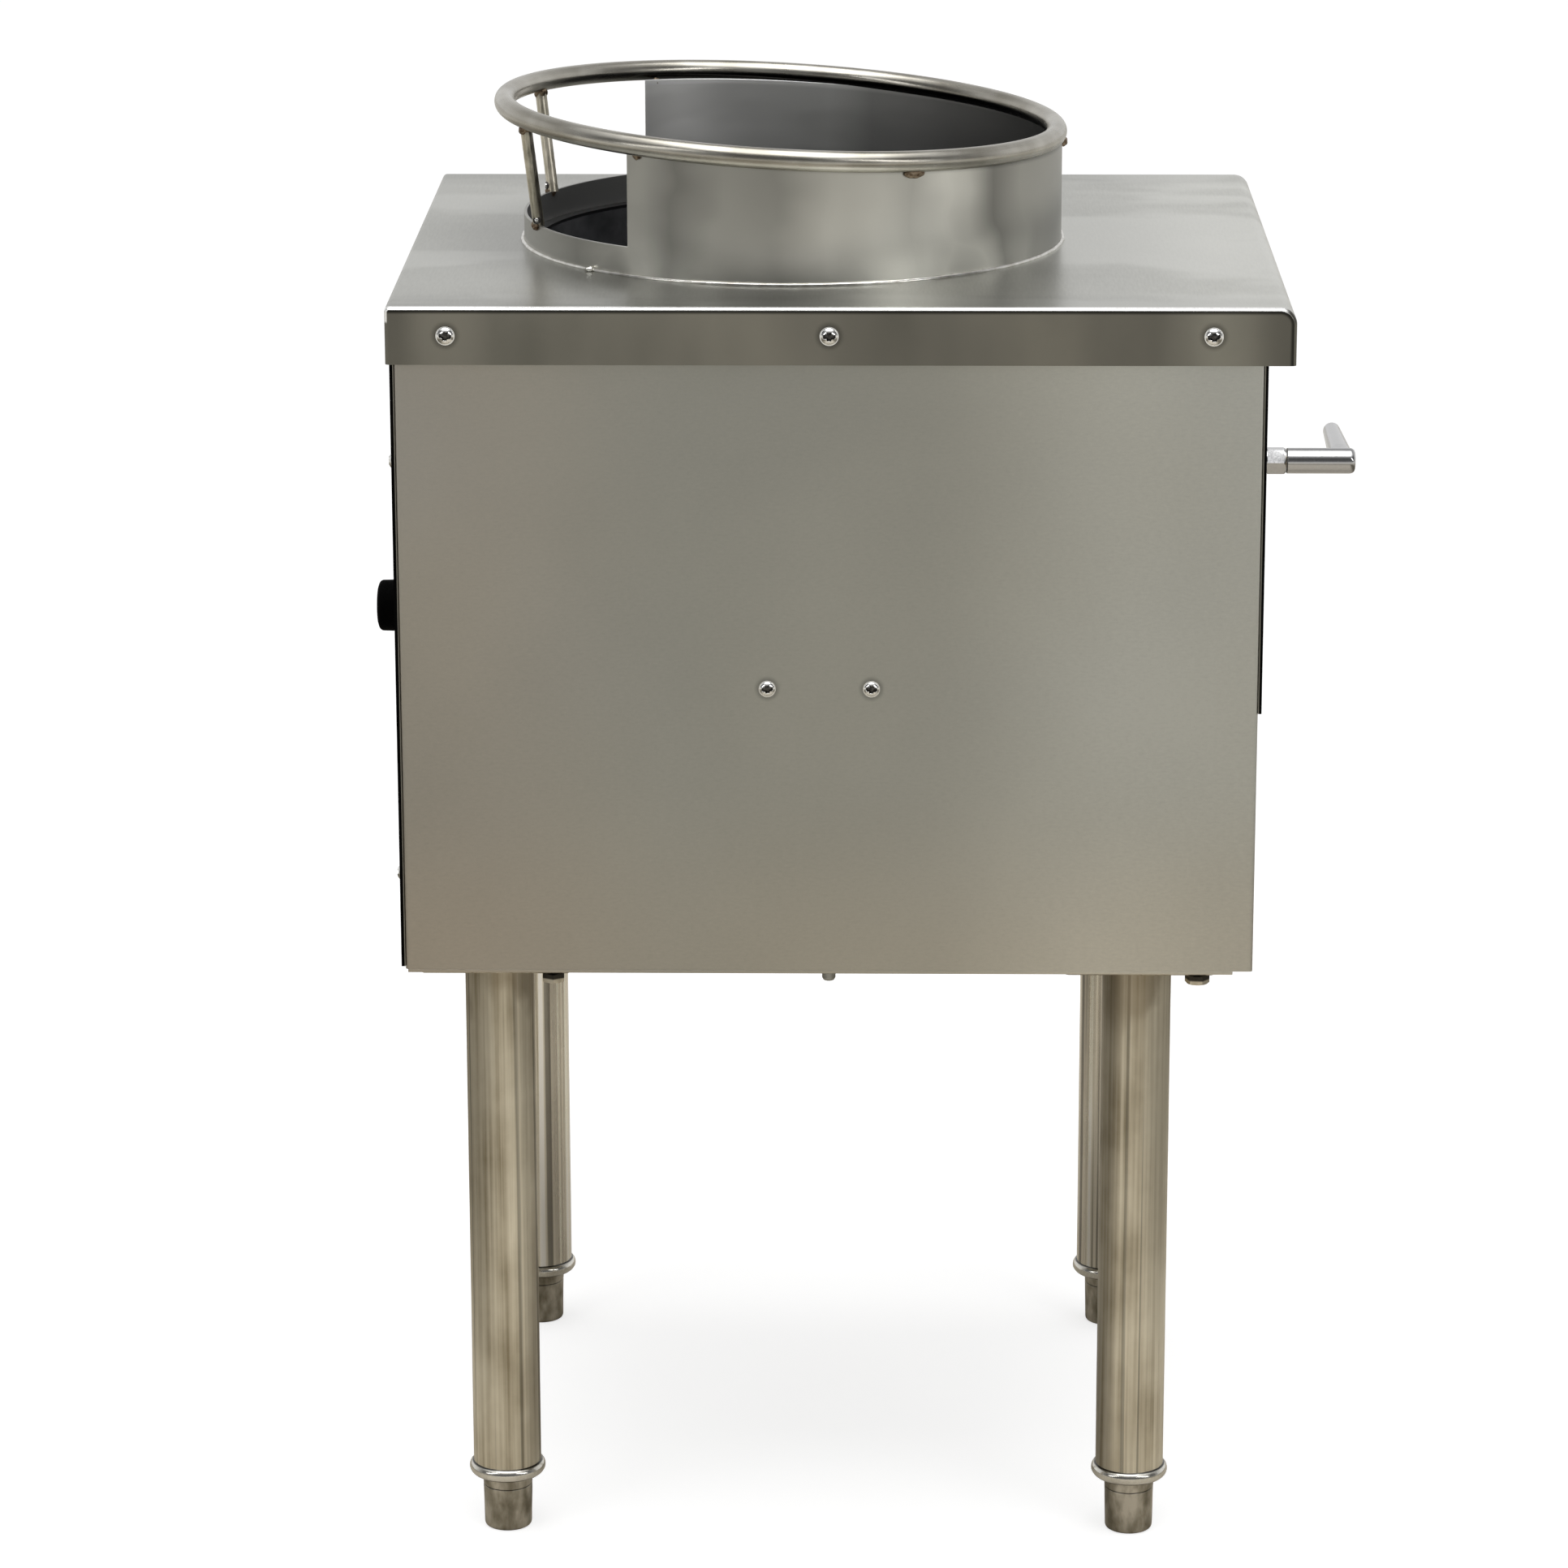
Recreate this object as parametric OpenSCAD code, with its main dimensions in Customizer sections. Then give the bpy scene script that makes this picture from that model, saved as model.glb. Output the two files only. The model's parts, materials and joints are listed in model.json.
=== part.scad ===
// Single-burner wok range: a sheet-metal cabinet on four tubular legs, with a sloped
// pot ring on a welded collar, a jet burner, its gas train and a slide-out drip tray.
// Millimetres. +Z is up, the cook stands on the -Y side, and X runs across the front.
// The origin is on the floor, under the middle of the whole range.
// Distances called "back" run forwards from the rear edge of the top sheet.

/* [Top] */
// Width of the top sheet
top_width = 470; // [440:1:560]
// Depth of the top sheet, from its rear edge to the front lip
top_depth = 533.4; // [510:0.1:640]
// Height of the top sheet above the floor
top_height = 787.4; // [740:0.1:860]
// Thickness of the top sheet
top_sheet = 2; // [1.5:0.1:3]
// Drop of the skirt that is folded down all round the top
skirt_drop = 34.2; // [30:0.1:44]
// Inner radius of the wide bend along the front lip
lip_bend = 8; // [3:0.5:10]
// Inner radius of the sharp bends along the sides and the rear
side_bend = 0.8; // [0.4:0.1:2]
// Overhang of the front lip beyond the control panel
front_overhang = 16; // [12:0.5:26]
// Clearance between sheets that lap over each other
lap_gap = 0.3; // [0.1:0.1:0.6]

/* [Cabinet] */
// Distance from the top surface down to the bottom edge of the cabinet
cabinet_drop = 408; // [380:1:450]
// Thickness of the side panels
side_sheet = 1.5; // [1:0.1:2.5]
// Thickness of the rear panel
rear_sheet = 2.4; // [1.5:0.1:3]
// Thickness of the control panel
control_sheet = 2.1; // [1.5:0.1:3]
// Distance from the top surface down to the lower edge of the control panel
control_drop = 245.2; // [225:0.1:262]
// Width of the flanges folded inwards along the side panels
flange_w = 18; // [12:1:22]
// Width of the flange along the bottom of a side panel
base_flange_w = 32; // [28:1:40]
// Depth of the edges folded down along the cross rail
rail_hem = 12; // [6:0.5:16]
// Distance of the rear screws from the rear panel's upper and lower edges
rear_screw_edge = 60; // [30:1:90]
// Length left off the bottom flange at the front corner
corner_relief = 12; // [4:1:16]
// Gap from the lower edge of the rear panel to the cabinet's bottom edge
rear_lift = 4; // [0:0.5:10]
// Thickness of the rails and braces
rail_sheet = 2; // [1.5:0.1:3]
// Width of the rails that carry the legs
leg_rail_w = 96; // [92:1:110]
// Width of the middle rail
mid_rail_w = 40; // [30:1:60]
// Height of the edges turned up along the rails
rail_edge = 9; // [5:0.5:11]
// Distance of the rear brace's middle in front of the rear panel
rear_brace_inset = 28.6; // [24:0.1:34]
// Distance of the front brace's middle behind the control panel
front_brace_inset = 52.4; // [30:0.1:70]
// Width of the braces under the top
brace_w = 30; // [20:1:36]
// Height of the braces under the top
brace_h = 20; // [14:1:28]

/* [Collar and pot ring] */
// Outer radius of the collar
collar_r = 167; // [155:0.5:175]
// Thickness of the collar wall
collar_wall = 2; // [1.5:0.1:3]
// Distance back of the collar's axis
collar_back = 235.4; // [225:0.1:250]
// Height of the low rim across the rear vent
low_rim = 17.8; // [10:0.1:30]
// Distance back of the two upright edges of the vent
vent_back = 138.5; // [110:0.5:160]
// Height of the pot ring's centre above the top
ring_height = 76.8; // [60:0.1:95]
// Slope of the pot ring, low side to the front, in degrees
ring_slope = 3.25; // [0:0.05:5]
// Radius of the pot ring along the middle of its tube
ring_r = 171.1; // [168.5:0.1:174]
// Distance that the ring's axis lies behind the collar's axis
ring_shift = 7.2; // [5.2:0.1:7.6]
// Radius of the pot ring's tube
ring_tube_r = 6.35; // [5.5:0.05:8]
// Depth of the collar's upper edge below the middle of the ring's tube
collar_edge_drop = 4.5; // [3.5:0.1:5.5]
// Clearance between the ring's tube and what is welded to it
weld_gap = 0.15; // [0.05:0.05:0.3]
// Radius of the weld bead round the collar's foot
bead_r = 2.3; // [1:0.1:3]
// Radius of the two struts under the rear of the ring
strut_r = 3.25; // [2.5:0.05:4]
// Angle from the rear to a strut's upper end, in degrees
strut_top_angle = 27; // [20:0.5:32]
// Angle from the rear to a strut's lower end, in degrees
strut_foot_angle = 18; // [12:0.5:24]
// Radius of the studs between the struts and the low rim
stud_r = 2.6; // [2:0.05:3]
// Gap between a strut's lower end and the collar's wall
strut_gap = 2; // [1:0.1:3]
// Height of a strut's lower end above the top
strut_foot_z = 9; // [6:0.5:12]

/* [Burner chamber] */
// Radius of the hole in the top sheet
chamber_r = 158; // [145:0.5:160]
// Thickness of the chamber's liner
liner_wall = 1.5; // [1:0.1:2.5]
// Depth of the liner below the top surface
liner_depth = 150; // [130:1:158]
// Width of the ledge at the bottom of the liner
liner_ledge = 18; // [8:1:24]
// Width of the liner's flange under the top sheet
liner_flange = 17; // [10:1:18]
// Depth of the cross rail's screw line below the top
bracket_drop = 230.3; // [228:0.1:234]
// Distance back of the cross rail's middle
bracket_back = 254.5; // [250:0.5:260]
// Width of the cross rail that carries the burner
bracket_w = 92; // [84:1:100]
// Thickness of the cross rail
bracket_sheet = 3; // [2:0.1:4]
// Spacing of the two screws at each end of the cross rail
bracket_pitch = 62; // [50:1:70]
// Height of the tabs at the ends of the cross rail
bracket_tab = 40; // [34:1:50]

/* [Burner] */
// Radius of the burner body
burner_r = 70; // [60:1:76]
// Height of the burner body
burner_h = 26; // [26:1:32]
// Chamfer round the burner body
burner_chamfer = 5; // [1:0.5:8]
// Number of jets in the inner circle
inner_jets = 6; // [4:1:8]
// Number of jets in the outer circle
outer_jets = 12; // [8:1:15]
// Radius of the circle of inner jets
inner_jet_circle = 27; // [22:1:32]
// Radius of the circle of outer jets
outer_jet_circle = 55; // [50:1:58]
// Width across the corners of a jet's hexagon
jet_hex = 12; // [9:0.5:13]
// Height of a jet's hexagon
jet_hex_h = 7; // [4:0.5:9]
// Height of a jet above its hexagon
jet_tip_h = 17; // [10:1:24]
// Radius of a jet at the foot of its cone
jet_cone_r = 4.8; // [3.5:0.1:5]
// Radius of a jet's mouth, outside
jet_mouth_r = 2.6; // [2:0.1:3.2]
// Radius of a jet's bore
jet_bore = 1.2; // [0.8:0.1:1.6]
// Radius of a jet's thread
jet_thread_r = 3; // [2.4:0.1:4]
// Thickness of the burner body's floor, which the jets are screwed into
burner_floor = 7; // [5:0.5:8]
// Reach of the feed socket beyond the burner body
feed_socket_len = 14; // [12:0.5:20]
// Wall of the feed socket
feed_socket_wall = 2.2; // [1.5:0.1:2.3]
// Length of pipe that is screwed into the feed socket
feed_thread = 12; // [8:0.5:12]
// Height of the heads of the burner's bolts
burner_bolt_head = 3.5; // [2:0.1:5]
// Width across the corners of the heads of the burner's bolts
burner_bolt_hex = 10; // [8:0.5:12]

/* [Gas train] */
// Radius of the supply pipe
pipe_r = 13.35; // [12:0.05:14]
// Wall of the supply pipe
pipe_wall = 2.9; // [2:0.1:3.2]
// Distance of the supply pipe from the middle of the range
pipe_side = 115; // [108:1:130]
// Depth of the gas inlet below the top
inlet_drop = 208.7; // [195:0.1:214]
// Length of the pipe's stub beyond the rear panel
stub_len = 17; // [14:0.5:22]
// Radius of the feed pipe from the valve to the burner
branch_r = 10.65; // [9:0.05:10.7]
// Wall of the feed pipe
branch_wall = 2.6; // [2:0.1:2.8]
// Bend radius of the pipe elbows
elbow_bend = 24; // [22:0.5:25]
// Thickness of an elbow's wall round its bend
elbow_wall = 3; // [2:0.1:4]
// Height of the collars at an elbow's mouths above the bend between them
elbow_collar_rise = 1; // [0.5:0.1:2]
// Length of the collars at an elbow's two mouths
elbow_collar = 8; // [5:0.5:8]
// Width across the corners of the inlet's locknut
locknut_hex = 41; // [38:1:46]
// Length of the inlet's locknut
locknut_len = 7; // [5:0.5:10]
// Bend radius of the feed pipe
feed_bend = 25; // [22:0.5:28]
// Depth of the valve's axis below the top
valve_drop = 142.3; // [130:0.1:150]
// Distance of the valve's middle behind the control panel
valve_inset = 32; // [28:1:40]
// Radius of the valve body
valve_r = 17; // [15:0.5:19]
// Length of the valve body
valve_len = 44; // [38:1:50]
// Reach of the valve's two bosses from its axis
valve_boss_reach = 32; // [30:0.5:36]
// Wall of the valve's bosses
valve_boss_wall = 4.5; // [2.5:0.1:6]
// Length of pipe that is screwed into a boss
valve_thread = 12; // [8:0.5:12]
// Thickness of the valve body's closed rear end
valve_floor = 5; // [3:0.5:7]
// Radius of the turning plug inside the valve
plug_r = 10; // [8:0.5:11]
// Radius of the gas ways in the valve and its plug
way_r = 5; // [3:0.5:6]
// Radius of the valve's stem
stem_r = 4.5; // [3.5:0.1:5]
// Running clearance round the stem, the plug, the cap and the foot screws
run_gap = 0.05; // [0.02:0.01:0.1]

/* [Valve handle] */
// Distance from the control panel to the handle's outermost face
handle_standoff = 71.4; // [66:0.1:84]
// Radius of the handle's rod
handle_r = 8.1; // [7:0.1:9]
// Length of the arm, from the stem's axis to its end
handle_arm = 92; // [60:1:120]
// Radius of the arm
arm_r = 6.3; // [5:0.1:7]
// Chamfer round the end of the handle's barrel
barrel_chamfer = 3; // [1:0.1:4]
// Depth of the stem's socket in the handle
stem_socket = 16; // [12:0.5:20]
// Radius of the handle's set screw
set_screw_r = 2.2; // [1.5:0.1:2.6]
// Depth of the handle's set screw below the barrel's surface
set_screw_sink = 0.6; // [0.2:0.1:1]
// Radius of the set screw's six-sided socket
set_screw_socket_r = 1.1; // [0.8:0.1:1.3]
// Depth of the set screw's socket
set_screw_socket = 1.5; // [1:0.1:2]
// Thickness of the bonnet's flange against the valve
bonnet_flange = 4; // [2:0.5:6]
// Radius of the bonnet's flange
bonnet_flange_r = 15; // [12:0.5:16]
// Width across the corners of the panel's locknut
panel_nut_hex = 26; // [22:0.5:30]
// Thickness of the panel's locknut
panel_nut_h = 5; // [3:0.5:8]
// Length of the bonnet in front of the control panel
bonnet_len = 27.5; // [20:0.5:32]
// Radius of the bonnet
bonnet_r = 8; // [7:0.1:9]

/* [Inlet cap] */
// Radius of the inlet cap
cap_r = 16; // [15:0.1:18]
// Distance that the cap stands out behind the rear panel
cap_len = 20.5; // [18:0.1:26]
// Thickness of the cap's end
cap_end = 2.5; // [1.5:0.1:3]
// Radius of the cap's rounded edge
cap_edge = 1.8; // [0.5:0.1:2]

/* [Pilot] */
// Distance of the pilot line from the middle of the range
pilot_side = 62; // [60:1:66]
// Distance back of the pilot burner's middle
pilot_back = 290; // [288:1:294]
// Radius of the pilot valve's body
pilot_valve_r = 7; // [6:0.5:8]
// Length of the pilot valve's body
pilot_valve_len = 32; // [28:1:36]
// Height of the pilot tube's branch above the pilot valve's lower end
pilot_branch_up = 11; // [10:0.5:13]
// Reach of the pilot burner's socket beyond its body
pilot_inlet = 9; // [6:0.5:12]
// Length of the pilot valve's socket for the pilot tube
pilot_socket = 5; // [3:0.5:8]
// Wall of the sockets for the pilot tube
pilot_socket_wall = 2.2; // [1.5:0.1:3]
// Radius of the pilot key's stem
pilot_key_r = 3; // [2:0.1:3.5]
// Length of the pilot key's stem below the pilot valve
pilot_key_drop = 12; // [8:0.5:20]
// Length of the pilot key's cross bar
pilot_bar_len = 24; // [16:1:30]
// Radius of the pilot key's cross bar
pilot_bar_r = 2.4; // [1.5:0.1:2.8]
// Radius of the pilot burner's body
pilot_body_r = 7; // [6:0.1:7.5]
// Wall of the pilot burner's hood
pilot_hood_wall = 2; // [1:0.1:3]
// Height of the pilot burner's hood
pilot_hood_h = 12; // [8:0.5:16]
// Wall of the pilot tube
pilot_tube_wall = 0.8; // [0.5:0.1:1]
// Radius of the pilot tube
pilot_tube_r = 3.2; // [2.5:0.1:3.5]
// Bend radius of the pilot tube
pilot_bend = 15; // [12:0.5:18]

/* [Legs and feet] */
// Radius of the leg tubes
leg_r = 21.1; // [19:0.05:23]
// Wall of the leg tubes
leg_wall = 1.5; // [1.2:0.1:2.5]
// Distance from the top's side edge in to a leg's axis
leg_side_inset = 54; // [50:1:60]
// Distance back of the rear legs' axes
rear_leg_back = 58; // [56:1:66]
// Distance of the front legs' axes behind the top's front edge
front_leg_inset = 85.4; // [84:0.1:103]
// Side of the square plate on top of a leg
plate_side = 90; // [84:1:92]
// Thickness of the plate on top of a leg
plate_t = 4.5; // [3:0.1:6]
// Leg of the weld fillet between a leg tube and its plate
leg_fillet = 4; // [2:0.5:6]
// Offset of a plate's bolts from the leg's axis
bolt_offset = 35; // [32:0.5:38]
// Radius of the leg bolts
bolt_r = 4; // [3:0.1:5]
// Width across the corners of the bolt heads and nuts
bolt_hex = 15; // [12:0.5:16]
// Height of the bolt heads
bolt_head_h = 5.3; // [4:0.1:6.5]
// Height of the nuts
nut_h = 6.5; // [5:0.1:7]
// Length of the bolts beyond their nuts
bolt_spare = 1.5; // [0.5:0.1:3]
// Height of the leg tube's lower end above the floor
leg_end_z = 41; // [39:0.5:50]
// Radius of the bead round the leg insert
insert_bead_r = 23.8; // [23.2:0.1:26]
// Half the height of the bead round the leg insert
insert_bead_half = 4.6; // [3:0.1:5]
// Height of the insert's lip outside the tube
insert_lip = 3.4; // [1:0.1:5]
// Height of the insert's underside above the floor
insert_base_z = 28; // [26:0.5:32]
// Length of the insert inside the tube
insert_plug = 40; // [34:1:50]
// Radius of the foot at its upper end
foot_top_r = 15.3; // [13:0.1:17]
// Radius of the foot at the floor
foot_base_r = 14.7; // [12:0.1:17]
// Radius of the foot's lower edge
foot_edge = 2; // [0.5:0.1:4]
// Radius of the foot's screw
foot_screw_r = 8; // [6:0.5:9]
// Length of the foot's screw
foot_screw_len = 48; // [44:1:52]
// Seat clearance between a foot and its insert
foot_gap = 0.3; // [0.2:0.05:0.5]

/* [Drip tray] */
// Depth of the drip tray's walls
tray_wall_h = 24; // [16:1:34]
// Thickness of the drip tray
tray_sheet = 1.2; // [0.8:0.1:2]
// Height of the tray's runners above the cabinet's bottom edge
runner_lift = 18; // [17:0.5:26]
// Width of the runners' shelf
runner_shelf = 40; // [30:1:50]
// Height of the runners' upright side
runner_side_h = 22; // [16:1:30]
// Clearance on each side of the tray
tray_gap = 1.5; // [1:0.1:3]
// Set-back of the tray's front behind the cabinet's front edge
tray_setback = 5; // [3:0.5:12]
// Height of the tray's front
tray_front_h = 46; // [40:1:60]
// Width of the hem along the top of the tray's front
tray_hem = 8; // [4:0.5:12]
// Width of the finger slot in the tray's front
slot_w = 110; // [70:1:160]
// Height of the finger slot
slot_h = 18; // [14:1:20]

/* [Fasteners] */
// Head radius of the skirt screws
skirt_head_r = 5.6; // [4:0.1:7]
// Head height of the skirt screws
skirt_head_h = 3; // [2:0.1:4]
// Head radius of the panel screws
panel_head_r = 5.1; // [4:0.1:6]
// Head height of the panel screws
panel_head_h = 2.6; // [2:0.1:3.5]
// Radius of the screws' shanks
screw_r = 2.5; // [2:0.1:3]
// Length of the screws under the head
screw_len = 10; // [8:0.5:14]
// Distance from the top's rear edge to the first skirt screw
skirt_screw_first = 35.7; // [30:0.1:60]
// Distance from the top's front edge to the last skirt screw
skirt_screw_last = 48.5; // [40:0.1:70]
// Depth of the skirt screws below the top
skirt_screw_drop = 16.8; // [15:0.1:18]

/* [Hidden] */
$fn = 96;

// Overshoot of every cut, so that no face lies in another
cut = 1;
// Fineness of the large round parts
wide_fn = 180;

// Depth plan, as distances back from the rear edge of the top sheet
rear_outer_back = top_sheet + lap_gap;
rear_inner_back = rear_outer_back + rear_sheet;
control_outer_back = top_depth - front_overhang;
control_inner_back = control_outer_back - control_sheet;
front_reach = control_outer_back + handle_standoff;
rear_reach = cap_len - rear_outer_back;
// Place of the top's rear edge, which puts the whole range's middle on the origin
rear_y = (front_reach - rear_reach) / 2;

// Width plan
half_top = top_width / 2;
side_outer_x = half_top - top_sheet - lap_gap;
side_inner_x = side_outer_x - side_sheet;
bay_half = side_inner_x - flange_w;

// Height plan
cabinet_base_z = top_height - cabinet_drop;
base_flange_top = cabinet_base_z + side_sheet;
rail_top_z = base_flange_top + rail_sheet;
under_top_z = top_height - top_sheet;
side_top_z = under_top_z - lap_gap;
valve_z = top_height - valve_drop;
inlet_z = top_height - inlet_drop;
bracket_screw_z = top_height - bracket_drop;
bracket_top_z = bracket_screw_z - bracket_tab / 2 + bracket_sheet;
burner_z = bracket_top_z + burner_h / 2;
plate_base_z = cabinet_base_z - plate_t;

leg_x = half_top - leg_side_inset;
valve_back = control_inner_back - valve_inset;

// Legs, rails and braces
front_leg_back = top_depth - front_leg_inset;
mid_rail_back = (rear_inner_back + control_inner_back) / 2;
rear_brace_back = rear_inner_back + rear_brace_inset;
front_brace_back = control_inner_back - front_brace_inset;
skirt_screw_pitch = (top_depth - skirt_screw_first - skirt_screw_last) / 2;

// Chamber liner
liner_outer_r = chamber_r + liner_wall;
liner_low_z = top_height - liner_depth;

// Burner
burner_top_z = bracket_top_z + burner_h;
burner_bolt_x = (inner_jet_circle + outer_jet_circle) / 2;
feed_socket_r = branch_r + feed_socket_wall;
feed_socket_reach = burner_r + feed_socket_len;

// Gas train: the supply pipe's elbows stand in line with the valve
riser_low_z = inlet_z + elbow_bend;
riser_high_z = valve_z - elbow_bend;
nipple_from = -pipe_side + elbow_bend;
nipple_to = -valve_boss_reach + valve_thread;
valve_front_back = valve_back + valve_len / 2;
bonnet_end_back = control_outer_back + bonnet_len;
stem_end_back = bonnet_end_back + stem_socket;

// Handle
handle_start = bonnet_end_back + lap_gap;
handle_end = control_outer_back + handle_standoff;
arm_back = handle_end - handle_r;
set_screw_back = handle_start + stem_socket / 2;

// Pilot line
pilot_valve_top = valve_z - pipe_r + pipe_wall;
pilot_valve_base = pilot_valve_top - pilot_valve_len;
pilot_high_z = pilot_valve_base + pilot_branch_up;
pilot_low_z = pilot_high_z - 2 * pilot_bend;

// Drip tray
runner_top_z = cabinet_base_z + runner_lift + rail_sheet;

// Where a distance back from the top's rear edge lies along Y
function at_back(back) = rear_y - back;
// Height of the pot ring's middle plane above a point at a distance back
function ring_plane_z(back) = top_height + ring_height
    + (collar_back - ring_shift - back) * tan(ring_slope);

// Places an object at a point given across, back from the rear edge and up
module place(across, back, up) {
    translate([across, at_back(back), up]) children();
}

// A box between two corners given across, back and up
module plan_box(from, to) {
    translate([from[0], at_back(to[1]), from[2]])
        cube([to[0] - from[0], to[1] - from[1], to[2] - from[2]]);
}

// Turns an object that stands along +Z to point along another axis
module along_x() { rotate([0, 90, 0]) children(); }
module along_front() { rotate([90, 0, 0]) children(); }
module along_rear() { rotate([-90, 0, 0]) children(); }

// The same piece on the other side of the range
module right_hand() { mirror([1, 0, 0]) children(); }

// A tube along +Z
module tube(length, outer, wall) {
    difference() {
        cylinder(h = length, r = outer);
        translate([0, 0, -cut]) cylinder(h = length + 2 * cut, r = outer - wall);
    }
}

// A quarter bend of tube, from the origin along +X, turning up to +Z
module quarter_bend(bend, outer, wall) {
    translate([0, 0, bend]) rotate([-90, 0, 0])
        rotate_extrude(angle = 90)
            translate([bend, 0]) difference() {
                circle(r = outer);
                if (outer > wall) circle(r = outer - wall);
            }
}

// A screw with a domed head and a cross recess; the shank points along -Z from the head's seat
module domed_screw(head_r, head_h, shank_r, shank_len) {
    crown = head_r * 0.55;
    recess_w = head_r * 0.26;
    recess_l = head_r * 1.1;
    difference() {
        union() {
            intersection() {
                cylinder(h = head_h, r = head_r);
                dome_r = (head_r * head_r + crown * crown) / (2 * crown);
                translate([0, 0, head_h - dome_r]) sphere(r = dome_r);
            }
            translate([0, 0, -shank_len]) cylinder(h = shank_len + head_h / 3, r = shank_r);
        }
        for (turn = [0, 90])
            rotate([0, 0, turn])
                translate([-recess_l / 2, -recess_w / 2, head_h * 0.55])
                    cube([recess_l, recess_w, head_h]);
    }
}

// Profile of the top along its depth: the front upper corner has the lip's wide bend
module depth_profile(inset, low) {
    bend = lip_bend + top_sheet - inset;
    front = inset;
    rear = top_depth - inset;
    high = top_height - inset;
    translate([-top_depth + rear_y, 0]) {
        translate([front + bend, low]) square([rear - front - bend, high - low]);
        translate([front, low]) square([rear - front, high - bend - low]);
        translate([front + bend, high - bend]) circle(r = bend);
    }
}

// Profile of the top across its width, with two sharp bends
module width_profile(inset, low) {
    bend = side_bend + top_sheet - inset;
    half = half_top - inset;
    high = top_height - inset;
    translate([-half, low]) square([2 * half, high - bend - low]);
    translate([-half + bend, low]) square([2 * (half - bend), high - low]);
    for (side = [-1, 1])
        translate([side * (half - bend), high - bend]) circle(r = bend);
}

module top_block(inset, low) {
    intersection() {
        translate([-half_top - cut, 0, 0]) rotate([90, 0, 90])
            linear_extrude(top_width + 2 * cut) depth_profile(inset, low);
        translate([0, rear_y + cut, 0]) rotate([90, 0, 0])
            linear_extrude(top_depth + 2 * cut) width_profile(inset, low);
    }
}

module skirt_screw_places() {
    for (side = [-1, 1], step = [0 : 2])
        translate([side * half_top, at_back(skirt_screw_first + step * skirt_screw_pitch),
                   top_height - skirt_screw_drop])
            rotate([0, side * 90, 0]) children();
}

module rail_screw_places() {
    for (side = [-1, 1], end = [-1, 1])
        translate([side * side_outer_x, at_back(bracket_back + end * bracket_pitch / 2), bracket_screw_z])
            rotate([0, side * 90, 0]) children();
}

module rear_screw_places() {
    rear_screw_x = side_inner_x - flange_w / 2;
    for (side = [-1, 1], up = [cabinet_base_z + rear_screw_edge, top_height - skirt_drop - rear_screw_edge])
        place(side * rear_screw_x, rear_outer_back, up) along_rear() children();
}

module base_screw_places() {
    for (side = [-1, 1])
        place(side * (side_outer_x - base_flange_w / 2), mid_rail_back, cabinet_base_z)
            rotate([180, 0, 0]) children();
}

// A hole for a screw's shank, through whatever it crosses at the given places
module screw_hole() {
    translate([0, 0, -2 * screw_len]) cylinder(h = 4 * screw_len, r = screw_r + run_gap);
}

module top_sheet() color([0.74, 0.74, 0.72])
    difference() {
        top_block(0, top_height - skirt_drop);
        top_block(top_sheet, top_height - skirt_drop - cut);
        place(0, collar_back, under_top_z - cut) cylinder(h = top_sheet + 2 * cut, r = chamber_r, $fn = wide_fn);
        skirt_screw_places() screw_hole();
    }

// The left side panel; the right one is its mirror image
module side_panel() {
    low = cabinet_base_z;
    outer = -side_outer_x;
    inner = -side_inner_x;
    front = control_inner_back;
    flange_front = front - corner_relief;
    difference() {
        union() {
            plan_box([outer, rear_inner_back, low + side_sheet], [inner, front, side_top_z]);
            plan_box([outer, rear_inner_back + side_sheet, low],
                     [outer + base_flange_w, flange_front, low + side_sheet]);
            plan_box([outer, rear_inner_back, side_top_z - side_sheet],
                     [inner + flange_w, front, side_top_z]);
            plan_box([outer, front - side_sheet, low + side_sheet], [inner + flange_w, front, side_top_z]);
            plan_box([outer, rear_inner_back, low + rear_lift + side_sheet],
                     [inner + flange_w, rear_inner_back + side_sheet, side_top_z]);
        }
        skirt_screw_places() screw_hole();
        rail_screw_places() screw_hole();
        rear_screw_places() screw_hole();
        base_screw_places() screw_hole();
        leg_bolt_places() bolt_hole();
    }
}

module side_panel_left() color([0.60, 0.59, 0.55]) side_panel();
module side_panel_right() color([0.60, 0.59, 0.55]) right_hand() side_panel();

module rear_panel() color([0.45, 0.45, 0.43])
    difference() {
        plan_box([-side_outer_x, rear_outer_back, cabinet_base_z + rear_lift],
                 [side_outer_x, rear_inner_back, side_top_z]);
        place(-pipe_side, rear_inner_back + cut, inlet_z)
            along_rear() cylinder(h = rear_sheet + 2 * cut, r = pipe_r + lap_gap);
        rear_screw_places() screw_hole();
    }

module control_panel() color([0.62, 0.61, 0.58])
    difference() {
        plan_box([-side_outer_x, control_inner_back, top_height - control_drop],
                 [side_outer_x, control_outer_back, side_top_z]);
        place(0, control_inner_back - cut, valve_z)
            along_front() cylinder(h = control_sheet + 2 * cut, r = bonnet_r + lap_gap);
    }

// A rail across the cabinet, lying on the two bottom flanges, with its edges turned up
module cross_rail(back, width) {
    half = side_inner_x - lap_gap;
    difference() {
        plan_box([-half, back - width / 2, base_flange_top], [half, back + width / 2, rail_top_z + rail_edge]);
        plan_box([-half - cut, back - width / 2 + rail_sheet, rail_top_z],
                 [half + cut, back + width / 2 - rail_sheet, rail_top_z + rail_edge + cut]);
        leg_bolt_places() bolt_hole();
        base_screw_places() screw_hole();
    }
}

module leg_rail_rear() color([0.55, 0.55, 0.53]) cross_rail(rear_leg_back, leg_rail_w);
module leg_rail_front() color([0.55, 0.55, 0.53]) cross_rail(front_leg_back, leg_rail_w);
module middle_rail() color([0.55, 0.55, 0.53]) cross_rail(mid_rail_back, mid_rail_w);

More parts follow.
